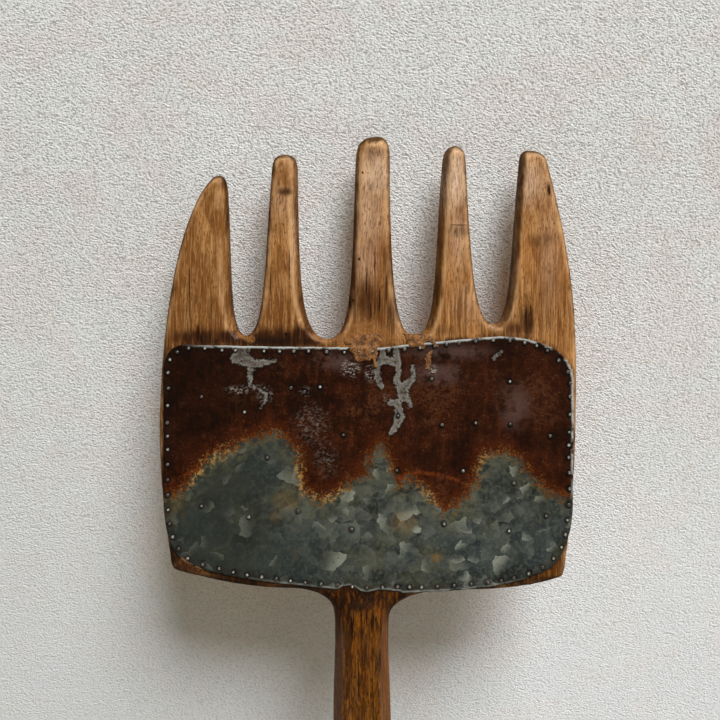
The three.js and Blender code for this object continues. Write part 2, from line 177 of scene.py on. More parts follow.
# The drawknife's cuts along the handle: which way each face looks and how deep it is cut. They
# follow the handle in short rows.
HANDLE_ROWS = 251
ROW_TALL = 6  # millimetres
HANDLE_CUTS = [
    (0.0, -1.0, 3.4), (0.78, -0.63, 2.3), (-0.78, -0.63, 2.1), (1.0, 0.0, 0.5), (-1.0, 0.0, 0.5),
    (0.0, 1.0, 2.0), (0.71, 0.71, 1.4), (-0.71, 0.71, 1.4),
]

# Painted sheen: pale places on the tine tops and edges, given like the stains.
PAINTED_SHEEN = [
    (6, 303, 12, 17, 0.75), (0, 276, 12, 26, 0.42), (-3, 244, 10, 20, 0.35), (63, 303, 11, 24, 0.95),
    (67, 262, 7, 28, 0.35), (118, 298, 10, 14, 0.6), (134, 240, 8, 40, 0.2), (-55, 262, 3, 40, 0.25),
    (-64, 284, 6, 12, 0.2), (107, 250, 3, 50, 0.35), (96, 200, 6, 8, 0.4), (73, 212, 12, 16, 0.25),
    (-87, 216, 4, 26, 0.35), (22, 214, 4, 26, 0.4), (-30, 188, 10, 3, 0.4),
]

# Tan putty on the wood: both ends of each smear across and up from the neck, and the half width
# at each end, in millimetres.
PUTTY_RIMS = [
    (-101, 201, -95, 189, 1.2, 2.6), (-95, 189, -87, 185, 2.6, 3.0), (-50, 197, -41, 187, 1.6, 3.0),
    (-41, 187, -31, 184, 3.0, 3.4), (-31, 184, -22, 189, 3.4, 3.0), (20, 197, 27, 188, 1.4, 2.6),
    (27, 188, 38, 186, 3.0, 4.0), (38, 186, 47, 192, 4.0, 2.4), (88, 202, 95, 195, 1.6, 3.4),
    (95, 195, 104, 198, 3.4, 2.2), (-17, 185, 10, 188, 6.0, 8.0), (10, 188, 18, 186, 6.0, 4.0),
    (-12, 194, 4, 198, 3.0, 3.0),
]

# Splits, pores and nicks in the front: across and up from the neck, half width, half length and
# how steeply each one leans, in millimetres.
NICKS = [
    (-126, 190, 0.9, 7.5, 0.35), (-123.5, 184, 0.8, 4, 0.2), (-61, 189, 1.1, 1.4, 0),
    (132.8, 294, 0.8, 4.2, 0.12), (-6.6, 244.5, 0.9, 1.2, 0), (-4, 307, 0.8, 1.1, 0),
    (-11, 214, 0.8, 1, 0), (8.5, 214, 0.55, 9, 0.03), (13.5, 222, 0.45, 12, -0.04),
    (-1.5, 228, 0.4, 14, 0.02), (5, 240, 0.35, 16, 0), (2, 206, 0.6, 7, 0.05),
    # the long level line on the fourth tine, at 67 across and 269.5 up, is the painted shadow line of a
    # step in its face
    (117, 203, 0.55, 8, 0.1), (120.5, 207, 0.5, 6, 0.05), (67, 269.5, 7.5, 0.36, 0.05),
    (-13.5, 212, 0.7, 6, 0.02), (-12, -30, 0.6, 12, 0.05), (4, -24, 0.6, 9, -0.04),
    (-1, -20, 0.5, 6, 0), (9, -52, 0.5, 10, 0.03), (-7, -70, 0.45, 12, 0.02),
    (-72, 226, 0.45, 9, 0), (-58, 240, 0.4, 12, 0.02), (-132, 226, 0.4, 14, 0.1),
]


def tint(red, green, blue):
    """A paint colour, given on the usual 0 to 255 scale, as Blender's linear colour."""
    steps = [value / 255 for value in (red, green, blue)]
    linear = [s / 12.92 if s <= 0.04045 else ((s + 0.055) / 1.055) ** 2.4 for s in steps]
    return (*linear, 1.0)


def smooth_step(low, high, value):
    share = np.clip((value - low) / (high - low), 0, 1)
    return share * share * (3 - 2 * share)


def laid_flat(spots):
    """Spots on the front, across and up, as points in space."""
    return np.stack([spots[:, 0], np.zeros(len(spots)), spots[:, 1]], 1)


def ripple(points, wave, seed):
    """Soft even noise from -1 to 1 at each point. wave is its length along x, y and z."""
    scaled = points / np.array(wave) + seed * np.array((7.31, 3.17, 5.77))
    return np.array([noise.noise(Vector(p)) for p in scaled])


def points_of(mesh):
    flat = np.empty(len(mesh.vertices) * 3, np.float64)
    mesh.vertices.foreach_get("co", flat)
    return flat.reshape(-1, 3)


def normals_of(mesh):
    flat = np.empty(len(mesh.vertices) * 3, np.float64)
    mesh.vertices.foreach_get("normal", flat)
    return flat.reshape(-1, 3)


def edges_of(mesh):
    flat = np.empty(len(mesh.edges) * 2, np.int64)
    mesh.edges.foreach_get("vertices", flat)
    return flat.reshape(-1, 2)


def set_points(mesh, points):
    mesh.vertices.foreach_set("co", points.astype(np.float32).ravel())
    mesh.update()


def neighbour_mean(points, edges):
    """The middle of each point's neighbours."""
    count = np.bincount(edges.ravel(), minlength=len(points))
    columns = []
    for axis in range(points.shape[1]):
        there = np.bincount(edges[:, 0], points[edges[:, 1], axis], len(points))
        back = np.bincount(edges[:, 1], points[edges[:, 0], axis], len(points))
        columns.append((there + back) / count)
    return np.stack(columns, 1)


def relax(points, edges, weight, rounds):
    """Rubs the surface smooth, more where weight is higher."""
    for _ in range(rounds):
        points = points + weight[:, None] * (neighbour_mean(points, edges) - points)
    return points


def blots(here, places, rim, core):
    """How strongly soft ovals cover each point. Each is whole inside its core and gone past its rim."""
    total = np.zeros(len(here))
    for x, z, wide, tall, *much in places:
        reach = np.hypot((here[:, 0] - x) / wide, (here[:, 1] - z) / tall)
        total = np.maximum(total, (much[0] if much else 1) * smooth_step(rim, core, reach))
    return total


def note(mesh, **numbers):
    """Keeps numbers for each point, which the material reads by name."""
    for name, values in numbers.items():
        mesh.attributes.new(name, "FLOAT", "POINT").data.foreach_set("value", values.astype(np.float32))


def evened(name, mesh, grid):
    """The same closed shape as one even skin of small squares."""
    rough = placed(name, mesh)
    skin = rough.modifiers.new("skin", "REMESH")
    skin.mode = "VOXEL"
    skin.voxel_size = grid
    bpy.context.view_layer.update()
    even = bpy.data.meshes.new_from_object(rough.evaluated_get(bpy.context.evaluated_depsgraph_get()))
    even.name = name
    bpy.data.objects.remove(rough)
    return even


def shown(name, mesh, material, slot, *stands_for):
    """Puts a finished piece in the scene, on the fork's one body."""
    mesh.shade_smooth()
    mesh.materials.clear()
    mesh.materials.append(material)
    piece = placed(name, mesh)
    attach(piece, "root")
    if stands_for:
        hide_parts(*stands_for)


class Brush:
    """Works on one node tree. Each method adds one step and hands on its result."""

    def __init__(self, tree):
        self.tree = tree
        tree.nodes.clear()

    def join(self, value, socket):
        """Feeds a socket from another step, or gives it a plain value."""
        if isinstance(value, bpy.types.NodeSocket):
            self.tree.links.new(value, socket)
        else:
            socket.default_value = value

    def add(self, kind, inputs, output=0, **settings):
        node = self.tree.nodes.new("ShaderNode" + kind)
        for key, value in settings.items():
            setattr(node, key, value)
        for key, value in inputs.items():
            self.join(value, node.inputs[key])
        return node.outputs[output] if node.outputs else node

    def place(self):
        return self.add("TexCoord", {}, "Object")

    def parts(self, value, kind="SeparateXYZ"):
        """The three numbers that make up a place, a direction or a colour."""
        return list(self.add(kind, {0: value}).node.outputs)[:3]

    def stretched(self, place, wave):
        """Place measured in waves, of one length or of a length each for x, y and z."""
        lengths = wave if isinstance(wave, tuple) else (wave, wave, wave)
        return self.vector("MULTIPLY", place, [1 / length for length in lengths])

    def noise(self, place, wave, detail=3, rough=0.55, warp=0.0):
        """Cloudy noise round one half, with waves of the given length."""
        return self.add("TexNoise", {
            "Vector": self.stretched(place, wave), "Scale": 1.0, "Detail": detail,
            "Roughness": rough, "Distortion": warp,
        })

    def shifted(self, place, wave, reach):
        """Place pushed about by soft noise, so that what is drawn on it wanders."""
        vector = self.stretched(place, wave)
        push = self.add("TexNoise", {"Vector": vector, "Scale": 1.0, "Detail": 2}, "Color")
        centred = self.vector("SUBTRACT", push, (0.5, 0.5, 0.5))
        return self.vector("ADD", place, self.vector("MULTIPLY", centred, reach))

    def ramp(self, value, low, high, start=0.0, end=1.0):
        """Goes softly from start to end as the value goes from low to high."""
        return self.add("MapRange", {
            "Value": value, "From Min": low, "From Max": high, "To Min": start, "To Max": end,
        }, interpolation_type="SMOOTHSTEP")

    def maths(self, operation, *values):
        """The same sum done on two numbers, then on its result and the next, and so on."""
        result = values[0]
        for value in values[1:]:
            result = self.add("Math", {0: result, 1: value}, operation=operation)
        return result

    def vector(self, operation, first, second=(0.0, 0.0, 0.0), output=0):
        return self.add("VectorMath", {0: first, 1: second}, output, operation=operation)

    def times(self, *values):
        return self.maths("MULTIPLY", *values)

    def plus(self, *values):
        return self.maths("ADD", *values)

    def most(self, *values):
        return self.maths("MAXIMUM", *values)

    def rest(self, share):
        """What is left of a whole."""
        return self.maths("SUBTRACT", 1.0, share)

    def swing(self, noise, reach):
        """Noise as a push of up to half the reach either way."""
        return self.times(self.maths("SUBTRACT", noise, 0.5), reach)

    def mixed(self, share, first, second):
        return self.add("Mix", {0: share, 6: first, 7: second}, 2, data_type="RGBA")

    def between(self, share, first, second):
        """The first colour where share is nothing, the second where it is one."""
        return self.mixed(share, tint(*first), tint(*second))

    def glaze(self, under, colour, *shares):
        """A coat of colour over the tone so far, as thick as the shares multiplied."""
        return self.mixed(self.times(*shares), under, tint(*colour))

    def noted(self, name):
        """The number kept for each point under this name."""
        return self.add("Attribute", {}, "Fac", attribute_name=name)

    def bump(self, height, depth, strength=1.0):
        return self.add("Bump", {"Height": height, "Distance": depth, "Strength": strength})


class Finish(Brush):
    """The surface finish of a piece."""

    def __init__(self, name):
        self.material = bpy.data.materials.new(name)
        self.material.use_nodes = True
        super().__init__(self.material.node_tree)
        self.skin = self.tree.nodes.new("ShaderNodeBsdfPrincipled")
        self.out = self.add("OutputMaterial", {"Surface": self.skin.outputs[0]})

    def finished(self, sockets):
        """Puts each colour, number or relief on the shader's socket of that name."""
        for name, value in sockets.items():
            self.join(value, self.skin.inputs[name])
        return self.material


def filled_pockets(mesh):
    """The CAD wood without its tack pockets, which the sheet hides."""
    work = bmesh.new()
    work.from_mesh(mesh)
    bmesh.ops.remove_doubles(work, verts=work.verts, dist=0.002 * MM)
    centres = [sum(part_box(n), Vector()) / 2 for n in nodes if "tack" in n]
    inside = []
    for vertex in work.verts:
        depth = vertex.co.y - palm_front
        near = min(math.hypot(vertex.co.x - c.x, vertex.co.z - c.z) for c in centres)
        if near < POCKET_REACH and -1 * MM < depth < POCKET_DEPTH:
            inside.append(vertex)
    bmesh.ops.delete(work, geom=inside, context="VERTS")
    rims = [edge for edge in work.edges if edge.is_boundary]
    bmesh.ops.holes_fill(work, edges=rims, sides=0)
    bmesh.ops.triangulate(work, faces=work.faces)
    bmesh.ops.recalc_face_normals(work, faces=work.faces)
    plain = bpy.data.meshes.new("wood_blank")
    work.to_mesh(plain)
    work.free()
    return plain


def outline_of(mesh, level):
    """The outer edge of a flat piece's face at this depth, as points in order."""
    spots = [(round(v.co.x, 6), round(v.co.z, 6)) for v in mesh.vertices]
    steps = set()
    for face in mesh.polygons:
        ring = [mesh.vertices[i] for i in face.vertices]
        if all(abs(v.co.y - level) < 0.02 * MM for v in ring):
            corners = [spots[i] for i in face.vertices]
            steps.update(zip(corners, corners[1:] + corners[:1]))
    onward = {a: b for a, b in steps if (b, a) not in steps}
    loops = []
    while onward:
        start, point = onward.popitem()
        loop = [start]
        while point != start:
            loop.append(point)
            point = onward.pop(point)
        loops.append(loop)
    return np.array(max(loops, key=len))


def spaced(loop, gap):
    """The same closed line with points at even steps."""
    ring = np.vstack([loop, loop[:1]])
    run = np.concatenate([[0], np.cumsum(np.hypot(*np.diff(ring, axis=0).T))])
    steps = np.linspace(0, run[-1], int(run[-1] / gap) + 1)[:-1]
    return np.stack([np.interp(steps, run, ring[:, 0]), np.interp(steps, run, ring[:, 1])], 1)


def distance_to_line(points, line):
    """How far each point is from a line of straight parts."""
    best = np.full(len(points), 1e9)
    for a, b in zip(line[:-1], line[1:]):
        along = b - a
        share = np.clip(((points - a) @ along) / max(along @ along, 1e-12), 0, 1)
        best = np.minimum(best, np.hypot(*(points - a - share[:, None] * along).T))
    return best


def inside(points, loop):
    """Which points lie inside a closed line."""
    within = np.zeros(len(points), bool)
    for (ax, az), (bx, bz) in zip(loop, np.roll(loop, -1, 0)):
        spans = (az > points[:, 1]) != (bz > points[:, 1])
        if az != bz:
            within ^= spans & (points[:, 0] < ax + (bx - ax) * (points[:, 1] - az) / (bz - az))
    return within


def strokes_at(here, strokes):
    """How far inside the nearest brush stroke each place is: less than nothing when it is outside."""
    best = np.full(len(here), -99.0)
    for x1, z1, x2, z2, r1, r2 in strokes:
        a, along = np.array((x1, z1)), np.array((x2 - x1, z2 - z1))
        share = np.clip(((here - a) @ along) / (along @ along), 0, 1)
        away = np.hypot(*(here - a - share[:, None] * along).T)
        best = np.maximum(best, r1 + share * (r2 - r1) - away)
    return best


def inset_of(points, normals):
    """How far each point lies in from the nearest side wall, and which way that wall faces."""
    walls = np.flatnonzero(np.abs(normals[:, 1]) < 0.35)
    tree = kdtree.KDTree(len(walls))
    for i in walls:
        tree.insert((points[i, 0], 0, points[i, 2]), int(i))
    tree.balance()
    found = [tree.find((x, 0, z)) for x, _, z in points]
    nearest = np.array([index for _, index, _ in found])
    return np.array([gap for _, _, gap in found]) / MM, nearest


def bevelled(points, normals, up):
    """Cuts the knife's bevel along the front edges of the tines and round the floors of the gaps."""
    # how wide the bevel is here: it dies away towards the sheet
    inset, nearest = inset_of(points, normals)
    sideways = normals[nearest, 0]
    tine = np.searchsorted(np.array(GAP_MIDDLES) * MM, points[nearest, 0])
    widths = np.array(BEVELS)[tine]
    width = widths[:, 0] * np.maximum(-sideways, 0) + widths[:, 1] * np.maximum(sideways, 0)
    upright = np.where(up > TIPS_START, np.array(TIP_BEVELS)[tine], GAP_FLOOR_BEVEL)
    width = width + upright * (1 - np.abs(sideways))
    width = width * smooth_step(176, 190, up)

    # cut back to the bevel, near the front face only
    rise = np.maximum(up - GAP_FLOORS, 0) / TINE_LENGTH
    depth = (points[:, 1] - palm_front) / MM + TINE_SWEEP * rise * rise
    wanted = BEVEL_STEEPNESS * (width - inset)
    cut = np.clip(wanted - depth, 0, None) * (depth < 8)
    points[:, 1] += cut * MM

    # where the bevel's line (a painted highlight), the hewn ends (with painted shade on the tips'
    # upward tops) and the dark sides (grime and painted shade) lie, for the finish
    line = np.exp(-((inset - width) / 1.1) ** 2) * smooth_step(2.5, 4, width) * (depth < 4)
    end = smooth_step(0.0, 0.8, cut) * smooth_step(0.75, 0.4, np.abs(sideways))
    # the tops of the tips that face upward are darkened too, a painted shade
    end = np.maximum(end, smooth_step(0.25, 0.6, normals[:, 2])) * (up > TIPS_START)
    edges = np.array(EDGE_SHADE_AND_GRIME)[tine]
    # the dark strips along the tine sides are grime and painted shade
    dark = np.where(sideways < 0, edges[:, 0], edges[:, 1]) * smooth_step(0.2, 0.6, np.abs(sideways))
    side = smooth_step(dark + 0.7, dark - 0.7, inset) * smooth_step(178, 196, up)
    return line, end, side


def drawknifed(points, up):
    """Flattens the handle lengthwise, as a drawknife does: a broad front with a bevel each side."""
    grip = smooth_step(-4, -62, up)
    row = np.clip((-up / ROW_TALL).astype(int), 0, HANDLE_ROWS - 1)
    centre = (cad_low.x + cad_high.x) / 2 - HANDLE_OFFSET
    for way_x, way_y, depth in HANDLE_CUTS:
        reach = (points[:, 0] - centre) * way_x + points[:, 1] * way_y
        limit = np.full(HANDLE_ROWS, -1.0)
        np.maximum.at(limit, row[up < -4], reach[up < -4])
        filled = limit > -1
        limit = np.interp(np.arange(HANDLE_ROWS), np.flatnonzero(filled), limit[filled])
        limit = np.convolve(np.pad(limit, 3, "edge"), np.full(7, 1 / 7), "valid")
        over = np.clip(reach - (limit[row] - depth * MM), 0, None) * grip
        points[:, 0] -= over * way_x
        points[:, 1] -= over * way_y


def carve_wood():
    mesh = evened("fork_wood", filled_pockets(nodes["carved_fork"].data), WOOD_GRID)
    points, edges = points_of(mesh), edges_of(mesh)
    facing = -normals_of(mesh)[:, 1]
    across, up = points[:, 0] / MM, (points[:, 2] - neck_line) / MM

    # the wood under and close beside the sheet stays as it is
    patch = outline_of(nodes["sheet_patch"].data, sheet_low.y)
    flat = points[:, (0, 2)]
    beside = distance_to_line(flat, np.vstack([patch, patch[:1]])) / MM
    covered = inside(flat, patch)
    near_patch = np.where(covered, 1, smooth_step(4, 1.5, beside))
    under_sheet = smooth_step(0.5, 0.9, facing) * near_patch * (up < 205)
    free = 1 - under_sheet

    # worn smooth, most of all at the neck, then cut along the handle and the tines
    tips = smooth_step(240, 290, up)
    neck = smooth_step(-60, -20, up) * smooth_step(130, 90, up)
    neck = neck * smooth_step(75, 40, np.abs(across + 5))
    points = relax(points, edges, 0.5 * free * (1 - 0.95 * tips), 2)
    points = relax(points, edges, 0.6 * free * neck, 30)
    drawknifed(points, up)
    set_points(mesh, points)
    bevel, end, side = bevelled(points, normals_of(mesh), up)
    points = relax(points, edges, 0.35 * free * (1 - 0.7 * tips), 1)
    tine = np.searchsorted(np.array(GAP_MIDDLES) * MM, points[:, 0])
    points[:, 2] += np.array(TIP_RISE)[tine] * MM * smooth_step(220, 322, up)
    set_points(mesh, points)

    # tool marks
    outward = normals_of(mesh)
    slow = ripple(points, (0.05, 0.05, 0.16), 1)
    strokes = ripple(points, (0.014, 0.014, 0.06), 2) + 0.5 * ripple(points, (0.006, 0.006, 0.02), 3)
    points = points + (free * (LONG_WAVE * slow + HEWN * 0.6 * strokes))[:, None] * outward
    set_points(mesh, points)

    # numbers for the finish
    outward = normals_of(mesh)
    inward = ((neighbour_mean(points, edges) - points) * outward).sum(1)
    sharp = relax((-inward / WOOD_GRID)[:, None], edges, np.full(len(points), 0.5), 3)[:, 0]
    front = smooth_step(0.1, 0.5, -outward[:, 1])
    here = np.stack([across, up], 1)
    # pale carries a painted sheen, side grime and painted shade, bevel a painted highlight line, and
    # end the hewn ends with painted shade on the tips' upward tops
    note(
        mesh, bevel=bevel, end=end, side=side,
        arris=np.clip(sharp * 9, -1, 1),
        grime=blots(here, STAINS, 1.7, 0.2) * front,
        pale=blots(here, PAINTED_SHEEN, 1.6, 0.1) * front,
        beside=np.where(covered, 0, smooth_step(5, 0.5, beside)) * front,
        putty=np.clip(strokes_at(here, PUTTY_RIMS), -6, 6) * front - 6 * (1 - front),
    )
    return mesh


def wood_finish():
    f = Finish("old_beech")
    place = f.place()
    wander = f.shifted(place, (0.03, 0.03, 0.12), (0.006, 0.006, 0.0))
    sideways, _, height = f.parts(place)
    facet, depth_facing, _ = f.parts(f.add("TexCoord", {}, "Normal"))
    broad = f.noise(wander, (0.05, 0.05, 0.13), 3, 0.55)
    cloudy = f.noise(place, (0.012, 0.012, 0.03), 4, 0.6)
    streaky = f.noise(wander, (0.0028, 0.0028, 0.055), 4, 0.65)
    grain = f.noise(wander, (0.0011, 0.0011, 0.026), 3, 0.6)
    pores = f.noise(wander, (0.0008, 0.0008, 0.012), 2, 0.5)
    flecks = f.noise(place, (0.0008, 0.0009, 0.0036), 1, 0.4)
    speckle = f.noise(place, 0.0016, 3, 0.7)
    handle = f.ramp(height, neck_line + 0.03, neck_line - 0.01)
    right = f.ramp(sideways, -0.15, 0.06)
    low = f.ramp(height, neck_line + 0.255, neck_line + 0.195)
    tip = f.ramp(height, neck_line + 0.235, neck_line + 0.31)

    # growth rings round a pith that lies behind the palm and leans a little off the grain
    lean = f.vector("MULTIPLY", height, PITH_LEAN)
    off = f.vector("SUBTRACT", f.vector("SUBTRACT", wander, lean), PITH_PLACE)
    rings = f.add("TexWave", {
        "Vector": off, "Scale": 55.0, "Distortion": 4.0, "Detail": 3, "Detail Scale": 30.0,
        "Detail Roughness": 0.6,
    }, "Fac", wave_type="RINGS", rings_direction="Z")

    # the wood's colour, brown at the roots of the tines; the left is darkened with painted shade, and
    # the tips on the right and the pale places are paled with a painted sheen
    tone = f.between(f.ramp(broad, 0.36, 0.62), CHESTNUT, HONEY)
    # painted shade: the wood darkens towards the left
    tone = f.glaze(tone, LEFT_SHADE_BEECH, f.rest(right), 0.7)
    tone = f.glaze(tone, CLEAN_BEECH, f.ramp(cloudy, 0.46, 0.6), 0.45)
    tone = f.glaze(tone, CLOUDED_BEECH, f.ramp(cloudy, 0.46, 0.34), 0.45)
    # painted sheen: the tips of the right-hand tines are paled
    tone = f.glaze(tone, TIP_SHEEN_BEECH, tip, right, f.ramp(cloudy, 0.38, 0.56), 0.4)
    # painted sheen on the pale places of the tine tops
    tone = f.glaze(tone, SHEEN_BEECH, f.noted("pale"), f.ramp(cloudy, 0.3, 0.5, 0.55, 0.95))
    tone = f.glaze(tone, ROOT_STREAK, low, f.ramp(streaky, 0.44, 0.56), 0.62)
    tone = f.glaze(tone, ROOT_BROWN, low, 0.3)
    strip = f.ramp(height, neck_line + 0.034, neck_line + 0.012)
    tone = f.glaze(tone, UNDER_SHEET, strip, f.ramp(cloudy, 0.3, 0.6, 0.85, 0.5))

    # the waxed handle, with its flame figure; its side cuts are tinted by which way they face, a
    # painted sheen on the right cut and a painted reflection on the left
    waxed = f.noise(wander, (0.006, 0.02, 0.05), 3, 0.6)
    golden = f.between(f.ramp(waxed, 0.4, 0.6), WAXED_BROWN, WAXED_GOLD)
    tone = f.mixed(handle, tone, golden)
    tone = f.glaze(tone, WAXED_STREAK, handle, f.ramp(streaky, 0.47, 0.4), 0.7)
    wooden = f.rest(f.times(handle, 0.7))
    flame = f.noise(wander, (0.0022, 0.02, 0.009), 4, 0.7, 0.6)
    tone = f.glaze(tone, FLAME_DARK, handle, f.ramp(flame, 0.52, 0.6), 0.85)
    tone = f.glaze(tone, FLAME_GOLD, handle, f.ramp(flame, 0.46, 0.36), 0.65)
    tone = f.glaze(tone, RIGHT_CUT_SHEEN, handle, f.ramp(facet, 0.35, 0.62), 0.8)
    tone = f.glaze(tone, LEFT_CUT_REFLECTION, handle, f.ramp(facet, -0.35, -0.62), 0.85)

    # rings, grain, pores and ray flecks
    tone = f.glaze(tone, RING_BROWN, f.ramp(rings, 0.4, 0.95), 0.14)
    tone = f.glaze(tone, GRAIN_DARK, f.ramp(grain, 0.5, 0.62), 0.38)
    tone = f.glaze(tone, GRAIN_PALE, f.ramp(grain, 0.48, 0.38), wooden, 0.24)
    tone = f.glaze(tone, PORE_BROWN, f.ramp(pores, 0.6, 0.68), 0.5)
    tone = f.glaze(tone, FLECK_BROWN, f.ramp(flecks, 0.58, 0.66), f.ramp(cloudy, 0.36, 0.6, 0.25, 0.6))

    # worn arrises with a painted highlight along the bevels, grime and painted shade on the tine sides,
    # darker hollows, the hewn ends with painted shade on the tips' upward tops, and the dirt beside the
    # sheet and round the neck
    patchy = f.noise(place, (0.003, 0.003, 0.016), 4, 0.7)
    arris = f.noted("arris")
    bevel = f.noted("bevel")
    # real wear on the arrises, and a painted highlight along the bevel's line
    worn = f.most(f.times(f.ramp(arris, 0.16, 0.7), 0.6), f.times(bevel, 0.7))
    worn = f.times(worn, f.ramp(cloudy, 0.3, 0.55), wooden)
    tone = f.glaze(tone, WORN_ARRIS_AND_HIGHLIGHT, worn, 0.7)
    # grime and painted shade on the sides of the tines
    tone = f.glaze(tone, SIDE_SHADE_AND_GRIME, f.noted("side"), f.ramp(cloudy, 0.3, 0.6, 0.95, 0.65))
    tone = f.glaze(tone, HEWN_END_AND_TOP_SHADE, f.noted("end"), f.ramp(speckle, 0.3, 0.5, 0.75, 1.0))
    hollow = f.ramp(arris, -0.1, -0.7)
    tone = f.glaze(tone, WALNUT, hollow, 0.6)
    grime = f.noted("grime")
    beside = f.noted("beside")
    broken = f.plus(f.ramp(streaky, 0.36, 0.58, 0.5, 1.0), f.swing(patchy, 0.9))
    solid = f.ramp(grime, 0.74, 0.95, 0.0, 0.6)
    broken = f.plus(broken, f.times(solid, f.rest(broken)))
    dirt = f.times(grime, broken)
    veil = f.ramp(grime, 0.1, 0.8)
    tone = f.glaze(tone, BROWN_VEIL, veil, f.ramp(patchy, 0.34, 0.58, 0.45, 0.95), f.plus(wooden, 0.3))
    dirt = f.most(dirt, f.times(beside, f.ramp(patchy, 0.3, 0.6), 0.75))
    tone = f.glaze(tone, SOOT, f.ramp(dirt, 0.1, 1.05))
    throat = f.times(handle, f.ramp(height, neck_line - 0.05, neck_line - 0.012))
    tone = f.glaze(tone, NECK_GOLD, throat, f.ramp(flame, 0.5, 0.4), 0.6)
    tone = f.glaze(tone, NECK_DARK, throat, f.ramp(streaky, 0.51, 0.43), 0.85)

    # splits and nicks, drawn on the front only
    facing = f.ramp(depth_facing, -0.2, -0.6)
    crooked = f.shifted(place, (0.003, 0.003, 0.006), (0.0012, 0.0, 0.001))
    nicks = None
    for x, z, wide, tall, slant in NICKS:
        centre = (x * MM, 0.0, neck_line + z * MM)
        away = f.vector("SUBTRACT", crooked, centre)
        turned = f.add("Mapping", {
            "Vector": away, "Rotation": (0, -math.atan(slant), 0),
            "Scale": (1 / (wide * MM), 0.0, 1 / (tall * MM)),
        }, vector_type="POINT")
        mark = f.ramp(f.vector("LENGTH", turned, output="Value"), 1.15, 0.55)
        nicks = mark if nicks is None else f.most(nicks, mark)
    nicks = f.times(nicks, facing)
    tone = f.glaze(tone, SOOT, nicks, 0.88)

    # tan putty rubbed into the rims of the gaps and over the root of the middle tine
    rim = f.plus(f.noted("putty"), f.swing(speckle, 6.0))
    daubed = f.ramp(f.plus(rim, f.swing(cloudy, 9.0)), 0.0, 2.2)
    daub = f.between(f.ramp(speckle, 0.36, 0.62), RIM_PUTTY_SHADE, RIM_PUTTY_TAN)
    daub = f.glaze(daub, RIM_PUTTY_SPECK, f.ramp(speckle, 0.57, 0.64), 0.85)
    tone = f.mixed(f.times(daubed, 0.68), tone, daub)

    dull = f.ramp(f.plus(cloudy, f.times(dirt, 0.3)), 0.3, 0.9, 0.36, 0.62)
    relief = f.plus(f.times(grain, 0.5), f.times(flecks, 0.35), f.times(cloudy, 0.8))
    relief = f.plus(f.maths("SUBTRACT", relief, f.times(nicks, 2.2)), f.times(daubed, speckle, 0.55))
    return f.finished({
        "Base Color": tone,
        "Roughness": f.maths("SUBTRACT", dull, f.times(worn, 0.08)),
        "Specular IOR Level": 0.03,
        "Coat Weight": 0.05,
        "Coat Roughness": 0.22,
        "Normal": f.bump(relief, 0.5 * MM, 0.7),
    })


shown("fork_wood", carve_wood(), wood_finish(), "wood", "carved_fork")

# ---------------------------------------------------------------- Sheet patch
# A cut of galvanised sheet iron laid over the palm and nailed down round its rim and over its face.
# It lies a little proud between the nails. Its upper part has rusted through the zinc to a dark
# red-brown, and its lower part still shows the spangle of the zinc.

SHEET_GRID = 1.25 * MM
SHEET_THICK = 0.6 * MM
PILLOW = 0.5 * MM  # how far the sheet stands proud between the nails
NAIL_HOLD = 7 * MM  # how far round itself a nail holds the sheet down
DENT = 0.07 * MM
EDGE_STEP = 0.9 * MM  # between the points of the cut edge
SNIPS = [(3.5 * MM, 0.25 * MM, 21), (12 * MM, 0.35 * MM, 22)]  # length, height and seed of its waves
RIM_LIFT = 0.35 * MM  # how far the edge curls up between nails
RUN_THICK = 0.12 * MM
ORANGE_RUST = (100, 50, 14)
RED_RUST = (48, 19, 7)
DARK_RUST = (18, 6, 2)
ZINC = (57, 59, 53)
BRIGHT_ZINC = (140, 140, 124)
DARK_ZINC = (33, 35, 31)
SMALL_FLAKE = (86, 88, 78)
BLUE_ZINC = (52, 60, 62)
OLIVE_ZINC = (74, 71, 50)
CLOTTED_ZINC = (88, 90, 80)
PITTED_ZINC = (36, 40, 37)
LEFT_SHADE_ZINC = (38, 40, 34)
CLEAN_ZINC = (110, 110, 96)
CHALKY_ZINC = (96, 90, 62)
OCHRE = (108, 84, 46)
MIDDLE_RUST = (52, 22, 9)
STREAKED_RUST = (70, 32, 10)
RAGGED_RUST = (82, 44, 20)
CLOUDED_RUST = (78, 46, 26)
DEEP_RUST = (14, 5, 2)
LEFT_SHADE_RUST = (20, 8, 3)
WARM_RUST = (72, 27, 6)
FRESH_RUST = (116, 54, 20)
VIOLET_HAZE_SHEEN_RUST = (84, 63, 56)
TAN_RUST = (142, 104, 54)
RUST_SPECKLE = (104, 64, 38)
RUST_PIT = (10, 4, 2)
TAN_LINE = (148, 114, 64)
FROST_WHITE = (160, 152, 140)
RUN_OUTLINE = (14, 7, 4)
RUN_DARK = (68, 61, 53)
RUN_PALE = (110, 102, 91)
RUN_EDGE = (138, 134, 125)
RUN_PIT = (34, 26, 20)
NAIL_CREVICE = (14, 9, 6)
RIM_DIRT = (24, 16, 11)
BARE_BURR = (158, 158, 150)

# Lower edge of the rust, across and up from the neck, in millimetres.
RUST_EDGE = [
    (-156, 67), (-151, 68), (-135, 73), (-130, 83), (-120, 93), (-112, 99), (-99, 104), (-91, 110),
    (-68, 117), (-63, 112), (-53, 102), (-52, 88), (-49, 75), (-37, 65), (-24, 70), (-14, 78), (0, 85),
    (1.5, 98), (9, 109), (15, 95), (21, 81), (24, 75), (28, 84), (32, 81), (41, 75), (48, 64),
    (55.5, 58.5), (65, 61), (72.5, 69.5), (80, 79), (82, 90), (86, 98), (102, 101), (112, 96),
    (115, 88), (124, 81), (132, 72), (146, 68), (156, 67),
]

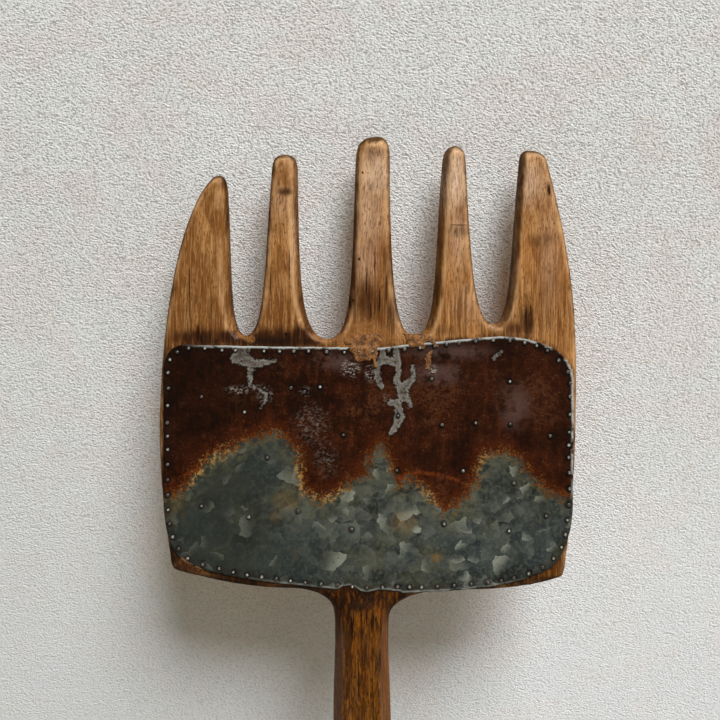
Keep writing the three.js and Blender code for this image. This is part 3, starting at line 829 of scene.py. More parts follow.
# Pale runs of old solder and zinc on the rust: both ends across and up from the neck, and the
# half width at each end, in millimetres.
PALE_RUNS = [
    (-96, 181, -92, 173, 4.6, 4.4), (-98, 171.5, -90, 170.5, 3.2, 4.2),
    (-90, 170.5, -85, 167, 4.0, 3.0), (-85, 167, -69, 169.5, 2.8, 0.7),
    (-86.5, 166, -87.3, 152, 2.4, 0.6), (-81, 149, -75.5, 145, 0.1, 0.7),
    (-75.5, 145, -75.5, 140, 0.7, 0.6), (-75.5, 140, -79.5, 134.5, 0.5, 0.0),
    (10.7, 179, 10.7, 172, 1.6, 2.0), (9.6, 170.5, 7, 165, 1.9, 1.5), (7, 165, 7, 157, 1.4, 2.0),
    (7, 157, 9.6, 151, 2.1, 1.6), (11.8, 170.2, 21.5, 168.7, 2.5, 2.6),
    (20.7, 179, 21.5, 170, 1.4, 2.2), (22.2, 168.7, 22.2, 159, 1.8, 1.5),
    (22.2, 159, 21, 154, 1.5, 1.7), (21, 154, 25.2, 148.7, 1.6, 3.0),
    (25.2, 148.7, 26.6, 142.5, 3.5, 3.1), (33, 165.8, 33.3, 157, 0.7, 1.5),
    (33.3, 157, 28.1, 151.7, 1.7, 2.6), (30, 141.3, 31, 136.2, 0.9, 1.0),
    (16.3, 138.4, 21.5, 139, 1.6, 2.0), (21.5, 138.4, 24, 133, 2.2, 1.5),
    (24, 133, 26, 128.5, 1.3, 1.3), (26, 128.5, 23, 124.3, 1.3, 1.8),
    (20.7, 133, 20.7, 125, 0.9, 1.2), (22.2, 124.3, 19.2, 119, 2.2, 1.7),
    (19.2, 119, 16.3, 115.4, 1.6, 0.7), (92.5, 171.5, 98.4, 176, 0.7, 0.8),
    (40, 182, 46, 185, 1.4, 2.0),
]

# Thin orange scratches where the rust has been rubbed, given like the pale runs.
SCRATCHES = [
    (28.6, 85.8, 38.9, 87.3, 0.4, 0.8), (38.9, 87.3, 55.4, 84.7, 0.8, 0.9),
    (55.4, 84.7, 67.6, 80.7, 0.9, 0.8), (67.6, 80.7, 77.9, 76.4, 0.8, 0.4),
    (-149, 79, -112, 96, 0.2, 0.2), (20, 88, 26, 79, 0.6, 1.0),
]

# Soft tints on the sheet: across and up from the neck, half width and half height, in millimetres.
# The clean ones are where the spangle shows best.
SHEET_BLOTS = {
    "frost": [
        (-13, 164, 7, 6), (-42, 122, 12, 14), (-31, 97, 8, 12), (47, 163, 4, 4), (14, 141, 3, 4),
        (-46, 147, 4, 3), (-96, 148, 8, 3), (-84, 150, 7, 2), (-76, 144, 5, 6), (2, 160, 4, 6),
    ],
    "tan": [(-120, 94, 22, 22), (-50, 86, 7, 22), (-30, 72, 14, 8), (44, 72, 10, 12), (86, 92, 6, 12)],
    # the violet tints are a haze on the rust with a painted sheen
    "violet_haze_sheen": [(-26, 170, 16, 7), (52, 160, 20, 8), (60, 176, 30, 6), (108, 136, 12, 16)],
    "ochre": [(-61, 66, 9, 8), (-69, 55, 5, 5), (27, 50, 10, 8), (-142, 60, 7, 12), (51, 24, 4, 3)],
    "clean": [(10, 45, 62, 30), (90, 50, 30, 24), (-52, 60, 22, 16)],
}

SHEET_EDGE = outline_of(nodes["sheet_patch"].data, sheet_low.y)


def built(name, points, faces):
    mesh = bpy.data.meshes.new(name)
    mesh.from_pydata(points, [], faces)
    mesh.update()
    return mesh


def nail_places():
    """Where every modelled nail sits, and the nails between them on the rim."""
    def middle(name):
        low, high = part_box(name)
        return np.array(((low.x + high.x) / 2, (low.z + high.z) / 2))
    rim = {n: middle(n) for n in sorted(nodes) if n.startswith("rim_tack")}
    face = {n: middle(n) for n in sorted(nodes) if n.startswith("face_tack")}
    ring = np.array(list(rim.values()))
    before, after, beyond = (np.roll(ring, turn, 0) for turn in (1, -1, -2))
    between = (9 * (ring + after) - before - beyond) / 16
    return {**rim, **face}, between


NAILS, RIM_BETWEEN = nail_places()
MORE_FACE_NAILS = [
    (-57, 149.5), (-35.5, 150.2), (-88.1, 54), (22.2, 128.8), (79.6, 123.6), (105.1, 122.8),
    (134.7, 114), (70.3, 88.1), (131.7, 54.8), (104.3, 43.7),
]
LOOSE_NAILS = np.vstack([RIM_BETWEEN, [(x * MM, neck_line + z * MM) for x, z in MORE_FACE_NAILS]])
ALL_NAILS = np.vstack([np.array(list(NAILS.values())), LOOSE_NAILS])


def nail_gap(spots):
    """How far each spot is from the nearest nail."""
    away = spots[:, None] - ALL_NAILS[None]
    return np.min(np.hypot(away[:, :, 0], away[:, :, 1]), 1)


def proud(spots):
    """How far the sheet's front stands off the wood at each spot."""
    flat = laid_flat(spots)
    held = 1 - np.exp(-(nail_gap(spots) / NAIL_HOLD) ** 2)
    swell = 0.55 + 0.6 * ripple(flat, (0.03, 1, 0.024), 11)
    dents = ripple(flat, (0.008, 1, 0.007), 12)
    return SHEET_THICK + PILLOW * held * swell + DENT * dents


def cut_sheet():
    # the edge, a little uneven from the snips
    loop = spaced(SHEET_EDGE, EDGE_STEP)
    flat = laid_flat(loop)
    nibble = sum(ripple(flat, (wave, 1, wave), seed) * high for wave, high, seed in SNIPS)
    middle = loop.mean(0)
    outward = (loop - middle) / np.linalg.norm(loop - middle, axis=1)[:, None]
    loop = loop + nibble[:, None] * outward

    # an even net of spots inside it
    columns = np.arange(sheet_low.x, sheet_high.x, SHEET_GRID)
    rows = np.arange(sheet_low.z, sheet_high.z, SHEET_GRID * 0.866)
    grid = np.array([(x + (i % 2) * SHEET_GRID / 2, z) for i, z in enumerate(rows) for x in columns])
    closed = np.vstack([loop, loop[:1]])
    grid = grid[inside(grid, loop)]
    grid = grid[distance_to_line(grid, closed) > 0.6 * SHEET_GRID]
    spots = np.vstack([loop, grid])
    ring = [(i, (i + 1) % len(loop)) for i in range(len(loop))]
    cut = delaunay_2d_cdt([Vector(s) for s in spots], ring, [], 1, 1e-7)
    spots = np.array([tuple(v) for v in cut[0]])
    count = len(spots)

    # how far the front and the back stand off the palm
    rim = distance_to_line(spots, closed)
    held = smooth_step(2.5 * MM, NAIL_HOLD, nail_gap(spots))
    lift = RIM_LIFT * held * smooth_step(4 * MM, 0, rim)
    up = (spots[:, 1] - neck_line) / MM
    across = spots[:, 0] / MM
    here = np.stack([across, up], 1)
    runs = np.clip(strokes_at(here, PALE_RUNS), -6, 6)
    front = proud(spots) + lift + RUN_THICK * smooth_step(-0.6, 1.2, runs)
    back = 0.05 * MM + lift * 0.8
    points = np.vstack([
        np.stack([spots[:, 0], palm_front - front, spots[:, 1]], 1),
        np.stack([spots[:, 0], palm_front - back, spots[:, 1]], 1),
    ])
    skins, steps = [], {}
    for a, b, c in cut[2]:
        one, two = spots[b] - spots[a], spots[c] - spots[a]
        if one[0] * two[1] < one[1] * two[0]:
            b, c = c, b
        skins += [(a, b, c), (a + count, c + count, b + count)]
        steps.update(dict.fromkeys([(a, b), (b, c), (c, a)]))
    skins += [(b, a, a + count, b + count) for a, b in steps if (b, a) not in steps]
    mesh = built("sheet_iron", points.tolist(), skins)

    # numbers for the finish: how deep in the rust, in a run or a tint each spot lies
    line = np.array(RUST_EDGE, float)
    above = np.where(up > np.interp(across, line[:, 0], line[:, 1]), 1, -1)
    rust = np.clip(above * distance_to_line(here, line), -40, 60)
    numbers = {"rust": rust, "runs": runs, "rim": rim / MM, "nail": nail_gap(spots) / MM}
    numbers["scratch"] = smooth_step(-1.2, 0.6, strokes_at(here, SCRATCHES))
    for name, places in SHEET_BLOTS.items():
        numbers[name] = blots(here, places, 1.5, 0.3)
    note(mesh, **{name: np.tile(values, 2) for name, values in numbers.items()})
    return mesh


def sheet_finish():
    f = Finish("old_galvanised_iron")
    place = f.place()
    sideways, _, height = f.parts(place)
    rust, rim, nail, runs = (f.noted(name) for name in ("rust", "rim", "nail", "runs"))
    coarse = f.noise(place, 0.013, 5, 0.65)
    ragged = f.noise(place, 0.005, 5, 0.75)
    speckle = f.noise(place, 0.0016, 3, 0.7)
    clots = f.noise(place, 0.0032, 3, 0.7)
    clouds = f.noise(place, (0.04, 0.04, 0.032), 3, 0.55)
    streaks = f.noise(place, (0.0045, 0.01, 0.02), 4, 0.65)

    # zinc spangle: soft overlapping flakes, each shaded across, and a few of them bright
    bent = f.shifted(place, 0.005, (0.006, 0.0, 0.006))
    feather = f.noise(f.shifted(place, 0.003, (0.003, 0.0, 0.003)), (0.0026, 0.0026, 0.0009), 3, 0.7)

    def flakes(wide, tall):
        """Flakes of one size: two random numbers for each, and how far across it a place lies."""
        lattice = f.stretched(bent, (wide, 1.0, tall))
        flake = f.add("TexVoronoi", {"Vector": lattice, "Scale": 1.0}, "Color", feature="F1")
        chance, other, _ = f.parts(flake, "SeparateColor")
        way = f.vector("SUBTRACT", flake, (0.5, 0.5, 0.5))
        apart = f.vector("SUBTRACT", lattice, flake.node.outputs["Position"])
        return chance, other, f.vector("DOT_PRODUCT", apart, way, "Value")

    broad_chance, broad_other, broad_across = flakes(0.024, 0.020)
    chance, other, across = flakes(0.0145, 0.013)
    small_chance, small_other, small_across = flakes(0.0085, 0.0075)
    shade = f.plus(f.times(broad_chance, 0.3), f.times(broad_across, 0.5))
    shade = f.plus(shade, f.plus(f.times(chance, 0.22), f.times(across, 0.7)), f.times(ragged, 0.5))
    zinc = f.between(f.ramp(shade, 0.22, 0.78), DARK_ZINC, ZINC)
    flaked = f.times(f.ramp(small_chance, 0.5, 0.9), f.ramp(small_across, -0.2, 0.3))
    zinc = f.glaze(zinc, SMALL_FLAKE, flaked, 0.35)
    zinc = f.glaze(zinc, BLUE_ZINC, f.ramp(clouds, 0.46, 0.62), 0.35)
    zinc = f.glaze(zinc, OLIVE_ZINC, f.ramp(broad_other, 0.55, 0.7), f.ramp(coarse, 0.42, 0.6), 0.45)
    zinc = f.glaze(zinc, CLOTTED_ZINC, f.ramp(clots, 0.48, 0.62), 0.35)
    zinc = f.glaze(zinc, PITTED_ZINC, f.ramp(ragged, 0.47, 0.35), 0.5)
    stained = f.times(f.noted("ochre"), f.ramp(coarse, 0.34, 0.54))
    zinc = f.glaze(zinc, OCHRE, stained, f.ramp(chance, 0.1, 0.5, 0.45, 1.0), 0.9)
    # painted shade: the zinc darkens towards the left
    zinc = f.glaze(zinc, LEFT_SHADE_ZINC, f.ramp(sideways, 0.0, -0.12), 0.7)
    lit = f.most(f.times(f.ramp(other, 0.82, 0.86), f.ramp(across, -0.05, 0.4)),
                 f.times(f.ramp(small_other, 0.84, 0.88), f.ramp(small_across, -0.05, 0.4)))
    # the bright flakes fade towards the left, a painted shade
    lit = f.times(lit, f.ramp(feather, 0.25, 0.55, 0.4, 1.0), f.ramp(sideways, -0.12, 0.01, 0.28, 1.0))
    mid = f.most(f.times(f.ramp(chance, 0.35, 0.55), f.ramp(across, -0.3, 0.35)),
                 f.times(f.ramp(small_chance, 0.3, 0.5), f.ramp(small_across, -0.2, 0.4)))
    zinc = f.glaze(zinc, CLEAN_ZINC, mid, f.noted("clean"), f.ramp(feather, 0.2, 0.6, 0.5, 1.0), 0.38)
    zinc = f.glaze(zinc, BRIGHT_ZINC, lit, 0.72)
    zinc = f.glaze(zinc, CHALKY_ZINC, f.ramp(rust, -18.0, -1.0), f.ramp(ragged, 0.42, 0.6), 0.45)

    # rust: dark and patchy, warmer where it nears the zinc
    red = f.between(f.ramp(coarse, 0.38, 0.62), DARK_RUST, RED_RUST)
    red = f.glaze(red, MIDDLE_RUST, f.ramp(sideways, -0.11, 0.02), 0.35)
    red = f.glaze(red, STREAKED_RUST, f.ramp(streaks, 0.5, 0.68), 0.5)
    red = f.glaze(red, RAGGED_RUST, f.ramp(ragged, 0.55, 0.7), 0.4)
    red = f.glaze(red, RUST_SPECKLE, f.ramp(speckle, 0.56, 0.7), f.ramp(coarse, 0.4, 0.6, 0.15, 0.6))
    red = f.glaze(red, CLOUDED_RUST, f.ramp(clouds, 0.52, 0.66), f.ramp(clots, 0.4, 0.6), 0.55)
    red = f.glaze(red, DEEP_RUST, f.ramp(clouds, 0.5, 0.34), 0.65)
    red = f.glaze(red, RUST_PIT, f.ramp(speckle, 0.42, 0.3), 0.5)
    red = f.glaze(red, VIOLET_HAZE_SHEEN_RUST, f.noted("violet_haze_sheen"), f.ramp(coarse, 0.36, 0.56), 0.6)
    # painted shade: the rust darkens towards the left
    red = f.glaze(red, LEFT_SHADE_RUST, f.ramp(sideways, -0.04, -0.1), f.ramp(rust, 8.0, 26.0), 0.6)
    red = f.glaze(red, WARM_RUST, f.ramp(rust, 20.0, 1.0), f.ramp(ragged, 0.38, 0.6), 0.5)
    red = f.glaze(red, FRESH_RUST, f.noted("scratch"), f.ramp(ragged, 0.38, 0.58), 0.6)
    frayed = f.plus(rust, f.swing(ragged, 22.0))
    fringe = f.ramp(frayed, 9.0, 1.0)
    red = f.glaze(red, ORANGE_RUST, fringe, f.ramp(speckle, 0.44, 0.58), 0.8)
    tan = f.noted("tan")
    tan_coat = f.times(fringe, f.ramp(speckle, 0.55, 0.66), f.ramp(coarse, 0.4, 0.55))
    red = f.glaze(red, TAN_RUST, tan_coat, f.ramp(tan, 0.0, 0.8, 0.3, 0.8))
    frost = f.times(f.noted("frost"), f.ramp(feather, 0.49, 0.6))
    high = f.ramp(height, neck_line + 0.13, neck_line + 0.155, 0.24, 0.95)
    red = f.glaze(red, FROST_WHITE, frost, high, f.ramp(clots, 0.4, 0.56))

    # where the rust gives way to zinc, with a tan line between them
    rusty = f.ramp(f.plus(rust, f.swing(ragged, 24.0), f.swing(speckle, 30.0)), -0.6, 0.8)
    tone = f.mixed(rusty, zinc, red)
    band = f.ramp(f.add("Math", {0: frayed}, operation="ABSOLUTE"), 5.0, 0.5)
    line = f.times(band, f.ramp(tan, 0.0, 0.9, 0.15, 1.0))
    tone = f.glaze(tone, TAN_LINE, line, f.ramp(coarse, 0.4, 0.54), f.ramp(clots, 0.46, 0.58), 0.85)

    # pale runs over the rust
    ragged_runs = f.plus(runs, f.swing(clots, 3.6), f.swing(speckle, 1.6))
    tone = f.glaze(tone, RUN_OUTLINE, f.ramp(ragged_runs, -3.0, -0.8), 0.5)
    pale = f.ramp(ragged_runs, -1.1, 0.5)
    pale_tone = f.between(f.ramp(clots, 0.36, 0.62), RUN_DARK, RUN_PALE)
    run_edge = f.times(f.ramp(ragged_runs, 1.6, 0.4), f.ramp(coarse, 0.4, 0.55))
    pale_tone = f.glaze(pale_tone, RUN_EDGE, run_edge, 0.6)
    pale_tone = f.glaze(pale_tone, RUN_PIT, f.ramp(speckle, 0.45, 0.35), 0.75)
    tone = f.mixed(f.times(pale, 0.92), tone, pale_tone)

    # crevices round the nail heads, and the bare burr of the cut edge
    ring = f.ramp(f.plus(nail, f.swing(coarse, 7.0)), 3.4, 1.7)
    tone = f.glaze(tone, NAIL_CREVICE, ring, f.ramp(rusty, 0.0, 1.0, 0.62, 0.85))
    tone = f.glaze(tone, RIM_DIRT, f.ramp(rim, 9.0, 2.0), f.ramp(coarse, 0.42, 0.56), 0.45)
    right_side = f.ramp(height, neck_line + 0.04, neck_line + 0.11)
    top_side = f.ramp(height, neck_line + 0.14, neck_line + 0.17)
    bottom_side = f.ramp(height, neck_line + 0.012, neck_line + 0.002, 0.0, 0.5)
    lip = f.times(f.ramp(sideways, 0.09, 0.14), right_side)
    lip = f.most(lip, f.times(f.ramp(sideways, -0.14, -0.1), top_side), bottom_side)
    burr = f.ramp(f.plus(rim, f.times(ragged, 2.6)), 3.4, 1.9)
    burr = f.times(burr, lip, f.ramp(coarse, 0.36, 0.5))
    tone = f.glaze(tone, BARE_BURR, burr, 0.95)

    pits = f.times(speckle, f.ramp(rusty, 0.0, 1.0, 0.15, 0.9))
    pits = f.plus(pits, f.times(ragged, 0.6), f.times(pale, speckle, 0.6))
    return f.finished({
        "Base Color": tone,
        "Metallic": f.times(f.rest(rusty), 0.06),
        "Specular IOR Level": 0.03,
        "Roughness": f.ramp(f.plus(coarse, f.times(rusty, 0.3)), 0.3, 1.0, 0.36, 0.8),
        "Normal": f.bump(pits, 0.4 * MM, 0.8),
    })


shown("sheet_iron", cut_sheet(), sheet_finish(), "sheet", "sheet_patch")

# ---------------------------------------------------------------- Tacks
# Small wrought tacks with hammered dome heads, driven through the sheet into the wood: some eighty
# round the rim, a finger's breadth apart, and two dozen over the face. Each shank is square and tapers.

HEAD_RADIUS = 1.45 * MM
HEAD_HEIGHT = 1.1 * MM
SHANK_LENGTH = 9 * MM
TACK_SIDES = 20
DOME_STEPS = 6
RIM_LUCK, FACE_LUCK = 200, 300  # where the luck of the tacks between the modelled ones starts
TACK_DARK = (84, 75, 62)
TACK_PALE = (132, 124, 109)
TACK_RUST = (56, 41, 30)
TACK_GLINT = (206, 204, 194)
TACK_FOOT = (34, 25, 18)


def forge_tack(spot, luck):
    """One tack as points, faces and how near each point is to the crown, at its place in the sheet."""
    wide = HEAD_RADIUS * luck.uniform(0.86, 1.14)
    high = HEAD_HEIGHT * luck.uniform(0.8, 1.1)
    flat = luck.uniform(0, 0.35)  # how much the hammer has flattened the dome
    squash = luck.uniform(0.9, 1.0)
    turn = luck.uniform(0, math.pi)
    spin = luck.uniform(0, math.pi)
    # each ring of points: its share of the width, its height, and whether it is square
    profile = [
        (0.0, -SHANK_LENGTH, 1), (0.08, -SHANK_LENGTH * 0.97, 1), (0.3, -SHANK_LENGTH * 0.35, 1),
        (0.38, -0.02 * MM, 1), (0.9, -0.02 * MM, 0), (1.0, 0.12 * high, 0), (0.99, 0.32 * high, 0),
    ]
    for step in range(DOME_STEPS):
        rise = math.radians(90 * (step + 1) / DOME_STEPS)
        dome = 0.32 + 0.68 * math.sin(rise)
        profile.append((math.cos(rise) ** (1 - 0.45 * flat), high * dome * (1 - 0.12 * flat), 0))
    nod = Matrix.Rotation(luck.uniform(-0.09, 0.09), 3, "X")
    tilt = nod @ Matrix.Rotation(luck.uniform(-0.09, 0.09), 3, "Z")
    stand = palm_front - float(proud(np.array([spot]))[0]) - 0.02 * MM
    points, faces, crown = [], [], []
    for share, height, square in profile:
        crown += [max(0.0, height / high)] * TACK_SIDES
        for side in range(TACK_SIDES):
            angle = 2 * math.pi * side / TACK_SIDES
            reach = share * wide
            if square:
                reach /= 1.35 * max(abs(math.cos(angle + spin)), abs(math.sin(angle + spin)))
            else:
                oval = (squash - 1) * math.cos(angle - turn) ** 2
                reach *= 1 + oval + 0.02 * math.sin(3 * angle + turn)
            at = tilt @ Vector((reach * math.cos(angle), -height, reach * math.sin(angle)))
            points.append((spot[0] + at.x, stand + at.y, spot[1] + at.z))
    for level in range(len(profile) - 1):
        for side in range(TACK_SIDES):
            a = level * TACK_SIDES + side
            b = level * TACK_SIDES + (side + 1) % TACK_SIDES
            faces.append((a, b, b + TACK_SIDES, a + TACK_SIDES))
    faces.append(tuple(reversed(range(TACK_SIDES))))
    faces.append(tuple(range(len(points) - TACK_SIDES, len(points))))
    return points, faces, crown


def tack_finish():
    f = Finish("old_tack_iron")
    place = f.place()
    patch = f.noise(place, 0.006, 3, 0.6)
    speckle = f.noise(place, 0.0006, 3, 0.7)
    tone = f.between(f.ramp(speckle, 0.35, 0.7), TACK_DARK, TACK_PALE)
    tone = f.glaze(tone, TACK_RUST, f.ramp(patch, 0.44, 0.54), 0.9)
    # the crown is rubbed bright and carries a painted glint, and the foot of the dome is darker
    rubbed = f.plus(f.noted("crown"), f.swing(speckle, 0.35))
    tone = f.glaze(tone, TACK_GLINT, f.ramp(rubbed, 0.9, 1.02), f.ramp(patch, 0.54, 0.42))
    tone = f.mixed(f.ramp(rubbed, 0.6, 0.95), tint(*TACK_FOOT), tone)
    return f.finished({
        "Base Color": tone,
        "Metallic": 0.15,
        "Roughness": 0.36,
        "Normal": f.bump(speckle, 0.12 * MM, 0.6),
    })


def tack_piece(name, tacks, material, *stands_for):
    points, faces, crowns = [], [], []
    for spot, luck in tacks:
        more, sides, crown = forge_tack(spot, luck)
        faces += [tuple(i + len(points) for i in side) for side in sides]
        points += more
        crowns += crown
    mesh = built(name, points, faces)
    note(mesh, crown=np.array(crowns))
    work = bmesh.new()
    work.from_mesh(mesh)
    bmesh.ops.remove_doubles(work, verts=work.verts, dist=0.001 * MM)
    bmesh.ops.recalc_face_normals(work, faces=work.faces)
    work.to_mesh(mesh)
    work.free()
    shown(name, mesh, material, "tack", *stands_for)


def with_luck(spots, first):
    """Each spot with its own fixed luck: no two tacks alike, and the same ones on every run."""
    return [(spot, random.Random(first + i)) for i, spot in enumerate(spots)]


tack_iron = tack_finish()
for number, (name, spot) in enumerate(NAILS.items()):
    tack_piece("forged_" + name, with_luck([spot], number), tack_iron, name)
tack_piece("rim_tacks_between", with_luck(RIM_BETWEEN, RIM_LUCK), tack_iron)
tack_piece("face_tacks_between", with_luck(LOOSE_NAILS[len(RIM_BETWEEN):], FACE_LUCK), tack_iron)

# ---------------------------------------------------------------- Filler
# Tan putty of chalk, oil and sawdust, thumbed over the sheet's edge where it gaped: under the middle
# tine, at the gap to its right, in a run below that, and at the lower left corner.

DAUB_GRID = 0.55 * MM
PUTTY_SHADE = (92, 57, 27)
PUTTY_TAN = (140, 93, 49)
PUTTY_SPECK = (58, 33, 15)
PUTTY_CRACK = (34, 20, 12)
PUTTY_GRIME = (66, 36, 16)
DAUBS = {
    "filler_middle_tine": (0.8, [
        (-14, 184, 7, 186, 3.4, 4.6), (-9, 179, 2, 179, 5.6, 6.0), (-6, 173, 0, 172, 4.2, 3.4),
        (4, 177, 5, 165.5, 3.0, 1.3),
    ]),
    "filler_right_gap": (0.8, [
        (30, 187, 43, 186, 3.6, 3.6), (33, 183, 41, 181, 3.6, 2.6), (44, 186, 51, 181, 2.6, 1.4),
        (27, 190, 31, 186, 1.6, 2.6),
    ]),
    "filler_right_gap_run": (0.6, [(46, 176, 45, 172, 1.8, 3.0), (45, 172, 43.5, 165, 3.0, 1.8)]),
    "filler_lower_corner": (0.6, [(-138, 23, -129, 17, 1.6, 2.2), (-129, 17, -119, 14.5, 2.2, 1.0)]),
}


def daub(name, thick, strokes, seed):
    """A smear of putty that lies over the wood and the sheet and thins to nothing at its edge."""
    x1, z1, x2, z2, r1, r2 = np.array(strokes, float).T
    left = (np.minimum(x1, x2) - r1 - r2 - 2).min()
    right = (np.maximum(x1, x2) + r1 + r2 + 2).max()
    bottom = (np.minimum(z1, z2) - r1 - r2 - 2).min()
    top = (np.maximum(z1, z2) + r1 + r2 + 2).max()
    columns = np.arange(left, right, DAUB_GRID / MM)
    rows = np.arange(bottom, top, DAUB_GRID / MM)
    across, up = (side.ravel() for side in np.meshgrid(columns, rows))
    flat = laid_flat(np.stack([across * MM, up * MM], 1))
    wide, fine = ripple(flat, (0.0045, 1, 0.0045), seed), ripple(flat, (0.0016, 1, 0.0016), seed + 1)
    inner = strokes_at(np.stack([across, up], 1), strokes) + 1.5 * wide + 0.9 * fine
    keep = inner > 0
    height = thick * (1 - np.exp(-np.clip(inner, 0, None) / 1.3)) * (1 + 0.35 * wide)
    height = height + 0.14 * fine * (inner > 0.8)
    spots = np.stack([across * MM, neck_line + up * MM], 1)
    gap = distance_to_line(spots, np.vstack([SHEET_EDGE, SHEET_EDGE[:1]])) / MM
    over = smooth_step(-1.6, 0.4, np.where(inside(spots, SHEET_EDGE), gap, -gap))
    base = over * proud(spots) / MM
    front = palm_front - (base + np.maximum(height, 0.04)) * MM
    back = palm_front - np.maximum(base - 0.35, -0.3) * MM
    numbers = np.full(len(across), -1)
    numbers[keep] = np.arange(keep.sum())
    grid = numbers.reshape(len(rows), len(columns))
    points = np.vstack([np.stack([spots[:, 0], y, spots[:, 1]], 1)[keep] for y in (front, back)])
    lift, skins, steps = keep.sum(), [], set()
    corners = (grid[:-1, :-1], grid[:-1, 1:], grid[1:, 1:], grid[1:, :-1])
    for a, b, c, d in zip(*(corner.ravel() for corner in corners)):
        if min(a, b, c, d) >= 0:
            skins += [(a, b, c, d), (d + lift, c + lift, b + lift, a + lift)]
            steps.update(((a, b), (b, c), (c, d), (d, a)))
    skins += [(b, a, a + lift, b + lift) for a, b in steps if (b, a) not in steps]
    mesh = built(name, points.tolist(), [tuple(int(i) for i in skin) for skin in skins])
    work = bmesh.new()
    work.from_mesh(mesh)
    bmesh.ops.delete(work, geom=[v for v in work.verts if not v.link_faces], context="VERTS")
    work.to_mesh(mesh)
    work.free()
    return mesh


def putty_finish():
    f = Finish("old_putty")
    place = f.place()
    lumps = f.noise(place, 0.005, 5, 0.7)
    specks = f.noise(place, 0.0012, 2, 0.6)
    tone = f.between(f.ramp(lumps, 0.36, 0.6), PUTTY_SHADE, PUTTY_TAN)
    tone = f.glaze(tone, PUTTY_SPECK, f.ramp(specks, 0.52, 0.6), 0.8)
    tone = f.glaze(tone, PUTTY_CRACK, f.ramp(lumps, 0.41, 0.35), 0.85)
    low = f.ramp(f.parts(place)[2], neck_line + 0.06, neck_line + 0.03)
    tone = f.glaze(tone, PUTTY_GRIME, low, 0.6)
    return f.finished({
        "Base Color": tone,
        "Roughness": 0.7,
        "Specular IOR Level": 0.2,
        "Normal": f.bump(f.maths("SUBTRACT", lumps, f.times(specks, 0.4)), 0.5 * MM, 0.8),
    })


putty = putty_finish()
for number, (name, (thick, strokes)) in enumerate(DAUBS.items()):
    smear = daub("daub_" + name, thick, strokes, 31 + 3 * number)
    shown("daub_" + name, smear, putty, "filler", name)

# ---------------------------------------------------------------- Light, wall and floor
# The fork leans before a pale plastered wall, lit softly from the upper right. The wall can be seen
# only from its front, so the fork's back can be looked at and lit too.

foot = cad_low.z
WALL_AT_TIPS = -5 * MM
WALL_SLOPE = 0.21  # the wall falls back this much for each unit down
WALL_ABOVE = 2.0  # above the tips
STAGE_HALF_WIDTH = 3.0
FLOOR_CORNERS = [(-4, -4), (4, -4), (4, 4), (-4, 4)]
ROOM_PLASTER = (206, 204, 198)
WALL_PLASTER = [(249, 246, 240), (254, 251, 246)]
FLOOR_PLASTER = [(182, 179, 172), (188, 185, 178)]
LOW_PLASTER = (222, 224, 227)
SHADED_CORNER_PLASTER = (196, 196, 193)
BLUSHED_PLASTER = (248, 232, 223)
GRIT_SHADE = (150, 144, 136)
GRIT = (1.9 * MM, 2.2 * MM, 1.3 * MM)  # the grain of the float's sand
GRIT_SLANT = -18  # degrees, the way the float was drawn
GRIT_RELIEF = 3.2 * MM
WINDOW_WAY = (-0.5, 1.0, -1.3)
WINDOW_LIGHT = (0.89, 0.94, 1.0)
WINDOW_STRENGTH = 5.3
WINDOW_SOFTNESS = 32
SIDE_WAY = (-1.2, 1.0, -0.6)
SIDE_STRENGTH = 0.3
SIDE_SOFTNESS = 40
ROOM_LIGHT = (1.0, 0.88, 0.66)
ROOM_STRENGTH = 0.1
BACK_WAY = (-0.2, -1.0, -0.25)
BACK_STRENGTH = 1.6
BACK_SOFTNESS = 40
DIM_FLOOR = (152, 144, 126)  # what the floor throws back on the fork


def plaster_finish(name, bumpy):
    f = Finish(name)
    place = f.place()
    broad = f.noise(place, 0.25, 3, 0.6)
    tone = f.between(f.ramp(broad, 0.35, 0.65), *(WALL_PLASTER if bumpy else FLOOR_PLASTER))
    if bumpy:
        sideways, _, height = f.parts(place)
        slant = (0, math.radians(GRIT_SLANT), 0)
        turned = f.add("Mapping", {"Vector": place, "Rotation": slant}, vector_type="POINT")
        grit = f.noise(f.shifted(turned, 0.005, (0.001, 0.0, 0.001)), GRIT, 3, 0.62)
        upper = f.ramp(height, neck_line - 0.1, neck_line + 0.3, 0.5, 1.0)
        blush = f.noise(place, (0.05, 0.05, 0.035), 3, 0.6)
        tone = f.glaze(tone, LOW_PLASTER, f.rest(upper))
        tone = f.glaze(tone, BLUSHED_PLASTER, f.ramp(blush, 0.44, 0.6), upper, 0.4)
        tone = f.glaze(tone, GRIT_SHADE, f.ramp(grit, 0.51, 0.38), upper, 0.55)
        # painted shade: the wall is darker low on the left
        corner = f.times(f.ramp(sideways, -0.08, -0.3), f.maths("SUBTRACT", 1.15, upper))
        tone = f.glaze(tone, SHADED_CORNER_PLASTER, corner, 0.75)
        f.finished({"Normal": f.bump(f.times(grit, upper), GRIT_RELIEF)})
    f.finished({"Base Color": tone, "Roughness": 0.85, "Specular IOR Level": 0.1})
    return f


def only_seen(finish, share, other):
    """Shows the finish only to the eye, where share is 1. Light meets the other surface instead."""
    mix = finish.add("MixShader", {0: share, 1: other, 2: finish.skin.outputs[0]})
    finish.join(mix, finish.out.inputs["Surface"])
    return finish.material


def eye_ray(finish):
    """One where the eye, a shiny or a clear surface looks at this one, and nothing for other light."""
    rays = finish.add("LightPath", {}, "Is Camera Ray").node.outputs
    return finish.most(rays["Is Camera Ray"], rays["Is Glossy Ray"], rays["Is Transmission Ray"])


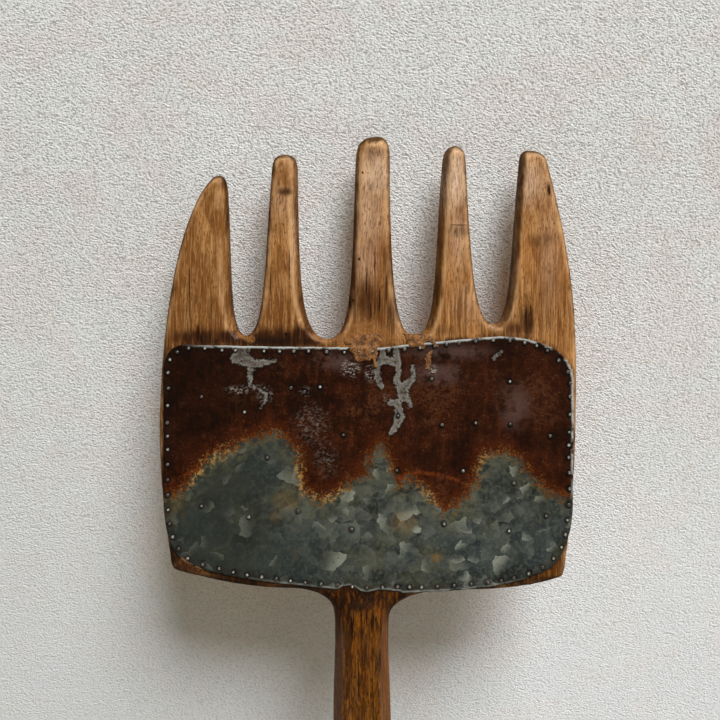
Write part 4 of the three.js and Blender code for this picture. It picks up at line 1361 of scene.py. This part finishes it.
wall_finish = plaster_finish("plaster", True)
front_of_wall = wall_finish.rest(wall_finish.add("NewGeometry", {}, "Backfacing"))
clear = wall_finish.add("BsdfTransparent", {})
wall_plaster = only_seen(wall_finish, wall_finish.times(eye_ray(wall_finish), front_of_wall), clear)
floor_finish = plaster_finish("floor_plaster", False)
dim = floor_finish.add("BsdfDiffuse", {"Color": tint(*DIM_FLOOR)})
floor_plaster = only_seen(floor_finish, eye_ray(floor_finish), dim)


def board(name, corners, material):
    mesh = built(name, corners, [(0, 1, 2, 3)])
    mesh.materials.append(material)
    placed(name, mesh)


def wall_row(height):
    """The left and the right end of a level line across the wall."""
    depth = WALL_AT_TIPS + (cad_high.z - height) * WALL_SLOPE
    return [(-STAGE_HALF_WIDTH, depth, height), (STAGE_HALF_WIDTH, depth, height)]


board("wall", wall_row(foot) + wall_row(cad_high.z + WALL_ABOVE)[::-1], wall_plaster)
board("floor", [(x, y, foot) for x, y in FLOOR_CORNERS], floor_plaster)


def sun(name, way, strength, softness, colour=(1.0, 1.0, 1.0)):
    lamp = bpy.data.lights.new(name, "SUN")
    lamp.energy = strength
    lamp.color = colour
    lamp.angle = math.radians(softness)
    held = placed(name, lamp)
    held.rotation_euler = Vector(way).to_track_quat("-Z", "Y").to_euler()
    return held


sun("high_window", WINDOW_WAY, WINDOW_STRENGTH, WINDOW_SOFTNESS, WINDOW_LIGHT)
sun("side_window", SIDE_WAY, SIDE_STRENGTH, SIDE_SOFTNESS, WINDOW_LIGHT)
sun("back_fill", BACK_WAY, BACK_STRENGTH, BACK_SOFTNESS).visible_glossy = False

world = bpy.data.worlds.new("room")
world.use_nodes = True
room = Brush(world.node_tree)
soft = room.add("Background", {"Color": (*ROOM_LIGHT, 1.0), "Strength": ROOM_STRENGTH})
pale = room.add("Background", {"Color": tint(*ROOM_PLASTER)})
choice = room.add("MixShader", {0: eye_ray(room), 1: soft, 2: pale})
room.add("OutputWorld", {"Surface": choice})
bpy.context.scene.world = world
